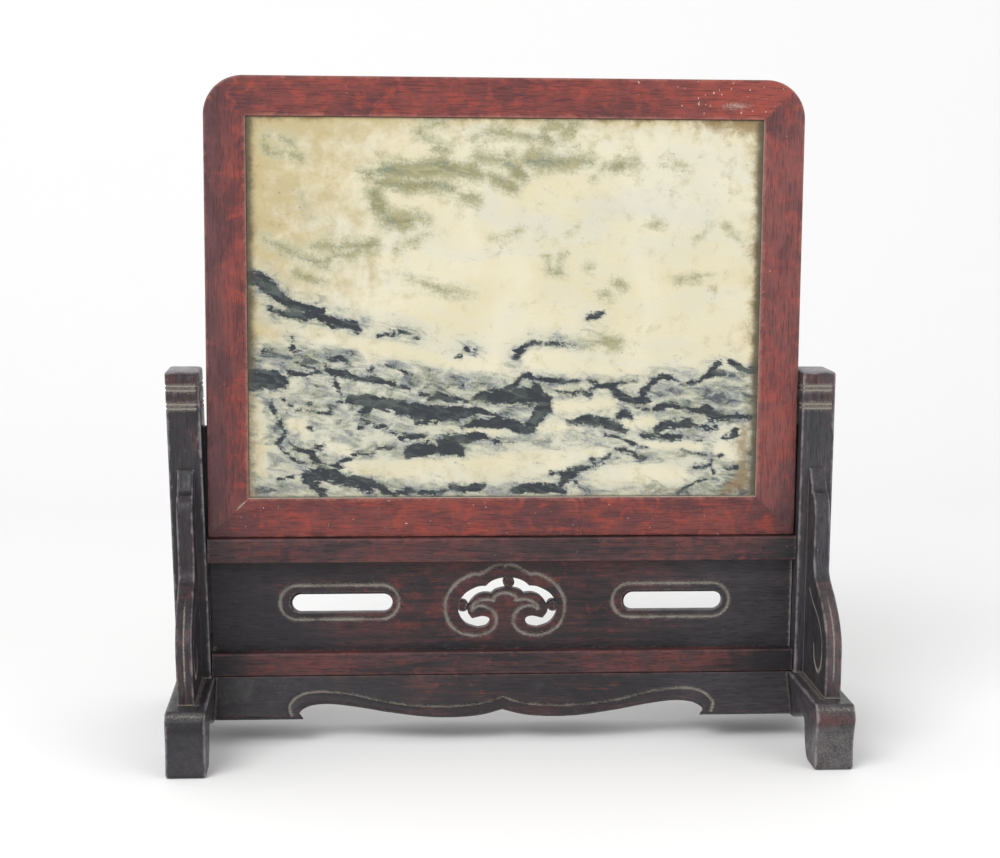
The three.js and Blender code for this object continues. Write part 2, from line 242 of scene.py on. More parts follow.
def arc(centre, radius, start, end, spacing=1.2):
    count = max(3, math.ceil(abs(end - start) * radius / spacing))
    angles = np.linspace(start, end, count + 1)
    return np.column_stack([centre[0] + radius * np.cos(angles), centre[1] + radius * np.sin(angles)])


def stadium(centre_x, centre_z, width, height, spacing=0.9):
    radius = height / 2
    reach = width / 2 - radius
    right = arc((centre_x + reach, centre_z), radius, -math.pi / 2, math.pi / 2, spacing)
    left = arc((centre_x - reach, centre_z), radius, math.pi / 2, math.pi * 1.5, spacing)
    top = straight(right[-1], left[0], spacing)
    bottom = straight(left[-1], right[0], spacing)
    return joined([right, top, left, bottom])


def mirrored(points):
    return (points * [-1, 1])[::-1]


def moved(points, dx, dz):
    return points + [dx, dz]


def sides_of(loop):
    return loop, np.roll(loop, -1, axis=0)


def runs_of(lines):
    starts = np.vstack([line[:-1] for line in lines])
    ends = np.vstack([line[1:] for line in lines])
    return starts, ends


def distance(points, starts, ends, reach=8.0):
    nearest = np.full(len(points), float(reach))
    for start, end in zip(starts, ends):
        low = np.minimum(start, end) - reach
        high = np.maximum(start, end) + reach
        close = np.flatnonzero(((points > low) & (points < high)).all(axis=1))
        along = end - start
        offset = points[close] - start
        share = np.clip(offset @ along / max(along @ along, 1e-12), 0, 1)
        away = offset - share[:, None] * along
        nearest[close] = np.minimum(nearest[close], np.hypot(away[:, 0], away[:, 1]))
    return nearest


def inside(points, loop):
    x, y = points[:, 0], points[:, 1]
    result = np.zeros(len(points), bool)
    for (ax, ay), (bx, by) in zip(*sides_of(loop)):
        if ay != by:
            crosses = (ay > y) != (by > y)
            result ^= crosses & (x < (bx - ax) * (y - ay) / (by - ay) + ax)
    return result


def across(starts, ends):
    along = ends - starts
    length = np.maximum(np.hypot(along[:, 0], along[:, 1]), 1e-9)
    return np.column_stack([-along[:, 1], along[:, 0]]) / length[:, None]


def beside(loop, amount, is_closed=True):
    starts, ends = sides_of(loop) if is_closed else (loop[:-1], loop[1:])
    normals = across(starts, ends)
    if is_closed:
        bisector = normals + np.roll(normals, 1, axis=0)
    else:
        bisector = np.vstack([normals[:1], normals]) + np.vstack([normals, normals[-1:]])
    length = np.maximum(np.hypot(bisector[:, 0], bisector[:, 1]), 1e-9)
    return loop + bisector / length[:, None] * amount


# Meshes

def shaded(mesh):
    mesh.polygons.foreach_set("use_smooth", [True] * len(mesh.polygons))
    mesh.set_sharp_from_angle(angle=crease)


def mesh_object(name, vertices, faces):
    mesh = bpy.data.meshes.new(name)
    points = (np.asarray(vertices, float) + [shift, 0, 0]) * 0.001
    mesh.from_pydata(points.tolist(), [], faces)
    built = bmesh.new()
    built.from_mesh(mesh)
    bmesh.ops.recalc_face_normals(built, faces=built.faces)
    built.to_mesh(mesh)
    built.free()
    shaded(mesh)
    piece = bpy.data.objects.new(name, mesh)
    bpy.context.scene.collection.objects.link(piece)
    return piece


def positions(piece):
    values = np.zeros(len(piece.data.vertices) * 3)
    piece.data.vertices.foreach_get("co", values)
    return values.reshape(-1, 3) * 1000 - [shift, 0, 0]


def paint(piece, **layers):
    """Gives each vertex its value in each layer. A single number goes to every vertex."""
    count = len(piece.data.vertices)
    for name, values in layers.items():
        layer = piece.data.attributes.new(name, "FLOAT", "POINT")
        layer.data.foreach_set("value", np.full(count, values, np.float32))


def belongs(piece, node, look):
    piece.data.materials.append(look)
    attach(piece, "root")
    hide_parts(node)


def combine(piece, operation, low, high):
    """Joins or cuts a piece with a box given by two corners."""
    corners = list(product(*zip(low, high)))
    faces = [(0, 1, 3, 2), (4, 6, 7, 5), (0, 4, 5, 1), (2, 3, 7, 6), (0, 2, 6, 4), (1, 5, 7, 3)]
    tool = mesh_object(piece.name + "_tool", corners, faces)
    change = piece.modifiers.new("change", "BOOLEAN")
    change.object = tool
    change.operation = operation
    change.solver = "EXACT"
    graph = bpy.context.evaluated_depsgraph_get()
    result = bpy.data.meshes.new_from_object(piece.evaluated_get(graph))
    piece.modifiers.clear()
    old = piece.data
    piece.data = result
    bpy.data.meshes.remove(old)
    bpy.data.objects.remove(tool)
    shaded(result)


def rounding(away, radius):
    inward = np.clip(radius - away, 0, radius)
    return radius - np.sqrt(radius * radius - inward * inward)


# A board: two faces drawn on one flat pattern, with walls round every edge

class Board:
    """rims is [(closed outline, edge radius)], solid_at says where there is wood, guides are extra points."""

    def __init__(self, name, rims, solid_at, spacing, guides=(), clear=None, seed=1):
        self.name = name
        loops = [loop for loop, radius in rims]
        starts = np.vstack(loops)
        ends = np.vstack([np.roll(loop, -1, axis=0) for loop in loops])
        widest = max(radius for loop, radius in rims)
        free = list(guides)
        for loop, radius in rims:
            for share in edge_rings:
                inset = share * radius
                if inset > 0.1:
                    near = np.vstack([beside(loop, inset), beside(loop, -inset)])
                    free.append(near[distance(near, starts, ends) > 0.9 * inset])
        grid = self.grid(starts.min(axis=0), starts.max(axis=0), spacing, seed)
        keep = distance(grid, starts, ends) > widest + 0.45 * spacing
        if clear is not None:
            keep &= clear(grid)
        free.append(grid[keep])
        loose = np.vstack(free)
        loose = self.thinned(loose[solid_at(loose)], least_step)
        self.triangulate(loops, loose, solid_at)
        self.find_rim()

    def grid(self, low, high, spacing, seed):
        rows = np.arange(low[1], high[1], spacing * 0.866)
        columns = np.arange(low[0], high[0], spacing)
        x, z = np.meshgrid(columns, rows)
        x = x + (np.arange(len(rows)) % 2)[:, None] * spacing / 2
        points = np.column_stack([x.ravel(), z.ravel()])
        jitter = np.random.default_rng(seed).uniform(-0.16, 0.16, points.shape)
        return points + jitter * spacing

    def thinned(self, points, least):
        cells = np.round(points / least).astype(np.int64)
        _, first = np.unique(cells, axis=0, return_index=True)
        return points[np.sort(first)]

    def triangulate(self, loops, loose, solid_at):
        points = [Vector(point) for point in np.vstack(loops + [loose])]
        edges = []
        first = 0
        for loop in loops:
            count = len(loop)
            edges += [(first + index, first + (index + 1) % count) for index in range(count)]
            first += count
        found = delaunay_2d_cdt(points, edges, [], 0, 1e-4)
        flat = np.array([tuple(point) for point in found[0]])
        triangles = np.array([face for face in found[2] if len(face) == 3])
        triangles = triangles[solid_at(flat[triangles].mean(axis=1))]
        used, triangles = np.unique(triangles, return_inverse=True)
        self.flat = flat[used]
        self.triangles = triangles.reshape(-1, 3)

    def find_rim(self):
        pairs = np.vstack([self.triangles[:, [0, 1]], self.triangles[:, [1, 2]], self.triangles[:, [2, 0]]])
        ordered = np.sort(pairs, axis=1)
        _, first, counts = np.unique(ordered, axis=0, return_index=True, return_counts=True)
        self.rim = pairs[first[counts == 1]]
        starts, ends = self.flat[self.rim[:, 0]], self.flat[self.rim[:, 1]]
        normals = across(starts, ends)
        winding = self.flat[self.triangles]
        one = winding[:, 1] - winding[:, 0]
        two = winding[:, 2] - winding[:, 0]
        if (one[:, 0] * two[:, 1] - one[:, 1] * two[:, 0]).mean() < 0:
            normals = -normals
        inward = np.zeros_like(self.flat)
        np.add.at(inward, self.rim[:, 0], normals)
        np.add.at(inward, self.rim[:, 1], normals)
        length = np.maximum(np.hypot(inward[:, 0], inward[:, 1]), 1e-9)
        self.inward = inward / length[:, None]
        self.rim_starts, self.rim_ends = starts, ends
        self.edge = distance(self.flat, starts, ends)

    def build(self, thickness, front, back, place, wall_steps=4, wall=None):
        """front and back are depths of the relief at each flat point. place turns them to x, y and z."""
        flat, count = self.flat, len(self.flat)
        levels = [front, thickness - back]
        spots = [flat, flat]
        faces = [tuple(face) for face in self.triangles]
        faces += [tuple(face + count) for face in self.triangles[:, ::-1]]
        on_rim = np.unique(self.rim)
        number = np.full(count, -1)
        number[on_rim] = np.arange(len(on_rim))
        chains = [on_rim]
        first = 2 * count
        for step in range(1, wall_steps):
            share = step / wall_steps
            level = front[on_rim] * (1 - share) + (thickness - back[on_rim]) * share
            hollow = np.zeros(len(on_rim))
            if wall is not None:
                hollow = wall(flat[on_rim], level) * min(1, 4 * share, 4 * (1 - share))
            spots.append(flat[on_rim] + self.inward[on_rim] * hollow[:, None])
            levels.append(level)
            chains.append(first + np.arange(len(on_rim)))
            first += len(on_rim)
        chains.append(on_rim + count)
        ends = number[self.rim]
        for upper, lower in zip(chains[:-1], chains[1:]):
            strip = [upper[ends[:, 1]], upper[ends[:, 0]], lower[ends[:, 0]], lower[ends[:, 1]]]
            faces += [tuple(face) for face in np.column_stack(strip)]
        self.u, self.v = np.vstack(spots).T
        self.depth = np.concatenate(levels)
        self.thickness = thickness
        return mesh_object(self.name, place(self.u, self.v, self.depth), faces)

    def sharp(self, reach=6.0):
        """Distance of each vertex from the nearest outer corner of the board."""
        flat = np.column_stack([self.u, self.v])
        away = distance(flat, self.rim_starts, self.rim_ends, reach)
        return np.hypot(away, np.minimum(self.depth, self.thickness - self.depth))


def frontal_place(front):
    return lambda u, v, depth: np.column_stack([u, front + depth, v])


def sideways_place(centre, width, turned=False, lean=0.0):
    side = -1 if turned else 1

    def place(u, v, depth):
        x = centre - width / 2 + depth + lean * (v - foot_height)
        return np.column_stack([x, -side * u, v])

    return place


# Lofts: rings of points joined one to the next and closed at both ends

def loft(name, rings):
    count, around = rings.shape[:2]
    index = np.arange(count * around).reshape(count, around)
    here, there = index[:-1], index[1:]
    strip = np.stack([here, np.roll(here, -1, axis=1), np.roll(there, -1, axis=1), there], axis=2)
    faces = [tuple(face) for face in strip.reshape(-1, 4)]
    faces.append(tuple(index[0][::-1]))
    faces.append(tuple(index[-1]))
    return mesh_object(name, rings.reshape(-1, 3), faces)


def rounded_section(corners, radii, spacing):
    """A closed section with each corner rounded, as a ring of points about spacing apart."""
    ring = np.array(corners, float)
    count = len(ring)
    points = []
    for index in range(count):
        here, before, after = ring[index], ring[index - 1], ring[(index + 1) % count]
        radius = radii[index]
        into = (before - here) / np.hypot(*(before - here))
        out = (after - here) / np.hypot(*(after - here))
        start, end = here + into * radius, here + out * radius
        if points:
            points.append(straight(points[-1][-1], start, spacing)[1:])
        share = np.linspace(0, 1, 5)[:, None] if radius > 0 else np.zeros((1, 1))
        points.append((1 - share) ** 2 * start + 2 * share * (1 - share) * here + share ** 2 * end)
    points.append(straight(points[-1][-1], points[0][0], spacing)[1:-1])
    return np.vstack(points)


def ring_at(section, height):
    return np.column_stack([section, np.full(len(section), height)])


# Shader nodes

def node(tree, kind, inputs=None, **settings):
    made = tree.nodes.new("ShaderNode" + kind)
    for key, value in settings.items():
        setattr(made, key, value)
    for key, value in (inputs or {}).items():
        socket = made.inputs[key]
        if isinstance(value, bpy.types.NodeSocket):
            tree.links.new(value, socket)
        else:
            socket.default_value = value
    return made


def stretched(tree, scale):
    place = node(tree, "TexCoord").outputs["Object"]
    return node(tree, "Mapping", {"Vector": place, "Scale": scale}).outputs[0]


def drawn_out(tree, axis, share):
    """A place for patterns that are drawn out along one axis: the smaller the share, the longer."""
    scale = [1.0, 1.0, 1.0]
    scale[axis] = share
    return stretched(tree, scale)


def grained(tree, place, scale, detail=3.0, roughness=0.55, distortion=0.0):
    inputs = {"Vector": place, "Scale": scale, "Detail": detail, "Roughness": roughness}
    inputs["Distortion"] = distortion
    return node(tree, "TexNoise", inputs).outputs[0]


def ramp(tree, value, low, high, start=0.0, end=1.0):
    inputs = {"Value": value, "From Min": low, "From Max": high, "To Min": start, "To Max": end}
    return node(tree, "MapRange", inputs, interpolation_type="SMOOTHSTEP").outputs[0]


def calc(tree, operation, one, two=0.0, three=0.0):
    return node(tree, "Math", {0: one, 1: two, 2: three}, operation=operation).outputs[0]


def tinted(tree, factor, one, two):
    inputs = {0: factor, 6: one, 7: two}
    return node(tree, "Mix", inputs, data_type="RGBA").outputs[2]


def covered(tree, ground, value, low, high, amount, tint):
    """The ground under a tint, whose cover grows from 0 to amount while value goes from low to high."""
    return tinted(tree, ramp(tree, value, low, high, 0.0, amount), ground, tint)


def swing(tree, value, amount):
    """A noise or layer that lies round 0.5, moved to lie round 0 and made this much stronger."""
    return calc(tree, "MULTIPLY_ADD", value, amount, -amount / 2)


def weighted(tree, one, two, share):
    """A mix of two values with this share of the second."""
    return calc(tree, "MULTIPLY_ADD", one, 1 - share, calc(tree, "MULTIPLY", two, share))


def layer(tree, name):
    return node(tree, "Attribute", attribute_name=name, attribute_type="GEOMETRY").outputs["Fac"]


def colour(red, green, blue):
    """The opaque colour that shows on screen as these values under the studio's light."""
    linear = [((value / 255 + 0.055) / 1.055) ** 2.4 / studio_gain for value in (red, green, blue)]
    return (*linear, 1.0)


def finished(name):
    look = bpy.data.materials.new(name)
    look.use_nodes = True
    tree = look.node_tree
    return look, tree, tree.nodes["Principled BSDF"]


def bumped(tree, height, amount):
    return node(tree, "Bump", {"Height": height, "Strength": 1.0, "Distance": amount}).outputs[0]


# Woods

def wood(name, grain, tones):
    """grain is the axis that the fibres run along: 0, 1 or 2."""
    look, tree, shader = finished(name)
    even = stretched(tree, (1, 1, 1))
    fibre = drawn_out(tree, grain, 0.07)
    clouds = grained(tree, drawn_out(tree, grain, tones["drawn"]), 48.0, 5.0, 0.62, 0.5)
    patches = grained(tree, even, 95.0, 5.0, 0.68, 0.8)
    streaks = grained(tree, fibre, 330.0, 4.0, 0.65)
    fine = grained(tree, fibre, 1300.0, 2.0, 0.6)
    speckle = grained(tree, even, 900.0, 4.0, 0.7)
    tone = layer(tree, "tone")
    share, spread = tones["streaks"], tones["spread"]

    figure = weighted(tree, clouds, streaks, share)
    mottle = calc(tree, "ADD", figure, swing(tree, tone, 0.4))
    mixed = tinted(tree, ramp(tree, mottle, 0.5 - spread, 0.5 + spread), tones["dark"], tones["base"])
    glow = calc(tree, "ADD", weighted(tree, patches, streaks, share), swing(tree, tone, 0.3))
    mixed = covered(tree, mixed, glow, 0.55 - spread / 2, 0.58 + spread / 2, tones["glow"], tones["bright"])

    # Painted sheen: the sheen layer turns the wood toward a pale grey tint that stands in for reflected
    # light; the same tint also gives random grey bloom
    veil = calc(tree, "MULTIPLY", layer(tree, "sheen"), ramp(tree, figure, 0.38, 0.62, 0.35, 1.0))
    grey = ramp(tree, grained(tree, even, 150.0, 6.0, 0.72), 0.52, 0.74, 0.0, 0.45)
    bloom_and_sheen = calc(tree, "MULTIPLY", calc(tree, "MAXIMUM", veil, grey), tones["bloom_and_sheen_amount"])
    mixed = tinted(tree, bloom_and_sheen, mixed, tones["bloom_and_sheen"])
    mixed = tinted(tree, ramp(tree, fine, 0.36, 0.50, 0.5, 0.0), mixed, tones["pore"])

    rubbed = calc(tree, "ADD", layer(tree, "wear"), swing(tree, patches, 1.4))
    mixed = covered(tree, mixed, rubbed, 0.3, 0.85, tones["worn_amount"], tones["worn"])
    # The dust layer turns the wood toward a pale tint: real dust, and on the pierced panel painted highlights
    # too
    dust_and_highlight_cover = calc(tree, "ADD", layer(tree, "dust"), swing(tree, speckle, 1.6))
    dust_and_highlight_cover = ramp(tree, dust_and_highlight_cover, 0.22, 0.95, 0.0, 0.9)
    mixed = tinted(tree, dust_and_highlight_cover, mixed, tones["dust"])
    chips = grained(tree, even, tones["chips"], 3.0, 0.6)
    chips = calc(tree, "MULTIPLY_ADD", layer(tree, "scuff"), 0.12, chips)
    mixed = covered(tree, mixed, chips, 0.775, 0.80, 0.85, tones["chip"])
    tree.links.new(mixed, shader.inputs["Base Color"])

    gloss = ramp(tree, patches, 0.3, 0.7, tones["gloss"] - 0.1, tones["gloss"] + 0.12)
    gloss = calc(tree, "MULTIPLY_ADD", dust_and_highlight_cover, 0.4, gloss)
    tree.links.new(gloss, shader.inputs["Roughness"])
    height = calc(tree, "MULTIPLY_ADD", streaks, 0.6, calc(tree, "MULTIPLY", fine, 0.4))
    height = calc(tree, "MULTIPLY_ADD", patches, 0.5, height)
    tree.links.new(bumped(tree, height, 0.00025), shader.inputs["Normal"])
    shader.inputs["Specular IOR Level"].default_value = tones["shine"]
    return look


# In each set of tones, the pale grey bloom colour serves both random bloom of the finish and the painted
# sheen
frame_tones = {
    "base": colour(134, 66, 60),
    "dark": colour(88, 54, 58),
    "bright": colour(176, 72, 54),
    "spread": 0.19,
    "glow": 0.65,
    "bloom_and_sheen": colour(128, 104, 106),
    "bloom_and_sheen_amount": 0.45,
    "pore": colour(70, 38, 40),
    "drawn": 0.5,
    "streaks": 0.2,
    "worn": colour(176, 124, 112),
    "worn_amount": 0.5,
    "dust": colour(196, 188, 172),
    "chip": colour(222, 200, 190),
    "chips": 320.0,
    "gloss": 0.42,
    "shine": 0.3,
}

stand_tones = {
    "base": colour(80, 49, 50),
    "dark": colour(42, 38, 42),
    "bright": colour(124, 58, 50),
    "spread": 0.13,
    "glow": 0.6,
    "bloom_and_sheen": colour(104, 101, 107),
    "bloom_and_sheen_amount": 0.5,
    "pore": colour(22, 18, 20),
    "drawn": 0.3,
    "streaks": 0.38,
    "worn": colour(118, 82, 80),
    "worn_amount": 0.55,
    "dust": colour(160, 154, 144),
    "chip": colour(170, 160, 150),
    "chips": 430.0,
    "gloss": 0.40,
    "shine": 0.28,
}

upright_tones = {
    **stand_tones,
    "base": colour(70, 58, 60),
    "dark": colour(44, 43, 48),
    "bright": colour(112, 62, 58),
    "glow": 0.55,
    "bloom_and_sheen": colour(114, 112, 115),
    "bloom_and_sheen_amount": 0.65,
    "worn": colour(164, 158, 163),
    "worn_amount": 0.65,
}

frame_wood_x = wood("frame_wood_lengthwise", 0, frame_tones)
frame_wood_z = wood("frame_wood_upright", 2, frame_tones)
stand_wood_x = wood("stand_wood_lengthwise", 0, stand_tones)
stand_wood_y = wood("stand_wood_front_to_back", 1, upright_tones)
stand_wood_z = wood("stand_wood_upright", 2, upright_tones)


def marble_look():
    look, tree, shader = finished("veined_marble")
    even = stretched(tree, (1, 1, 1))
    place = node(tree, "TexCoord").outputs["Object"]
    turned = node(tree, "Mapping", {"Vector": place, "Rotation": (0, -vein_tilt, 0)}).outputs[0]
    flow = node(tree, "Mapping", {"Vector": turned, "Scale": (0.4, 1, 1)}).outputs[0]
    broad = grained(tree, even, 14.0, 3.0, 0.5, 0.5)
    cloud = grained(tree, flow, 45.0, 5.0, 0.6, 0.8)
    blotch = grained(tree, even, 95.0, 6.0, 0.64, 0.2)
    streak = grained(tree, flow, 300.0, 5.0, 0.64, 0.6)
    wisps = grained(tree, flow, 175.0, 7.0, 0.66, 0.9)
    speckled = swing(tree, grained(tree, even, 650.0, 4.0, 0.65), 0.5)
    torn = calc(tree, "ADD", swing(tree, streak, 1.7), swing(tree, blotch, 0.8))
    ragged = calc(tree, "MULTIPLY_ADD", torn, ramp(tree, cloud, 0.35, 0.62, 0.4, 1.15), speckled)
    wispy = calc(tree, "ADD", swing(tree, wisps, 2.1), speckled)
    soft = swing(tree, blotch, 1.8)
    patchy = calc(tree, "MULTIPLY_ADD", speckled, 1.6, soft)

    # Cream ground, with cool and aged areas
    ground = tinted(tree, ramp(tree, broad, 0.35, 0.65), colour(229, 219, 184), colour(238, 230, 202))
    ground = covered(tree, ground, cloud, 0.42, 0.66, 0.55, colour(222, 221, 205))
    cool = calc(tree, "MULTIPLY_ADD", patchy, 0.5, layer(tree, "cool"))
    ground = covered(tree, ground, cool, 0.3, 1.2, 0.8, colour(216, 217, 208))
    aged = calc(tree, "ADD", layer(tree, "age"), soft)
    ground = covered(tree, ground, aged, 0.05, 1.0, 0.9, colour(198, 180, 132))
    ground = covered(tree, ground, patchy, 0.05, 0.5, 0.34, colour(196, 186, 142))

    # Olive areas
    green = calc(tree, "MULTIPLY_ADD", soft, 0.6, calc(tree, "MULTIPLY", wispy, 0.55))
    green = calc(tree, "MULTIPLY_ADD", speckled, 1.1, green)
    green = calc(tree, "MULTIPLY_ADD", layer(tree, "green"), 1.4, green)
    ground = covered(tree, ground, green, 0.12, 0.6, 0.7, colour(198, 195, 164))
    olive = tinted(tree, ramp(tree, blotch, 0.42, 0.58), colour(112, 124, 106), colour(146, 143, 102))
    olive = covered(tree, olive, wisps, 0.44, 0.62, 0.65, colour(188, 182, 140))
    ground = covered(tree, ground, green, 0.42, 0.95, 0.9, olive)

    # Haze round the veins, then brown stains
    haze = layer(tree, "haze")
    ground = covered(tree, ground, haze, 0.05, 0.5, 0.6, colour(204, 207, 192))
    veiled = calc(tree, "MULTIPLY_ADD", haze, 1.15, wispy)
    smoke = tinted(tree, ramp(tree, blotch, 0.42, 0.58), colour(130, 136, 120), colour(124, 132, 138))
    ground = covered(tree, ground, veiled, 0.28, 0.90, 0.85, smoke)
    ground = covered(tree, ground, veiled, 0.82, 1.0, 0.8, colour(66, 73, 78))
    stained = calc(tree, "MULTIPLY_ADD", patchy, 0.6, layer(tree, "stain"))
    ground = covered(tree, ground, stained, 0.35, 1.0, 0.85, colour(146, 121, 80))

    # Dark veins, and the dark line round the edge: brown grime, and a painted shadow of the frame's edge
    dark = calc(tree, "ADD", layer(tree, "dark"), ragged)
    ground = covered(tree, ground, dark, 0.25, 0.56, 0.75, smoke)
    inner = tinted(tree, ramp(tree, wisps, 0.46, 0.66), colour(40, 46, 54), colour(86, 94, 90))
    ground = covered(tree, ground, dark, 0.45, 0.60, 0.96, inner)
    rim = calc(tree, "MULTIPLY_ADD", soft, 0.3, calc(tree, "MULTIPLY_ADD", speckled, 0.3, layer(tree, "rim")))
    ground = covered(tree, ground, rim, 0.1, 0.9, 0.85, colour(78, 72, 58))
    tree.links.new(ground, shader.inputs["Base Color"])
    tree.links.new(ramp(tree, cloud, 0.3, 0.7, 0.22, 0.36), shader.inputs["Roughness"])
    tree.links.new(bumped(tree, cloud, 0.0001), shader.inputs["Normal"])
    shader.inputs["Specular IOR Level"].default_value = 0.35
    return look


# Marble slab: veins as strokes of (x, z, half width), measured from the middle of the whole.
# A half width below 0 makes a faint mark.

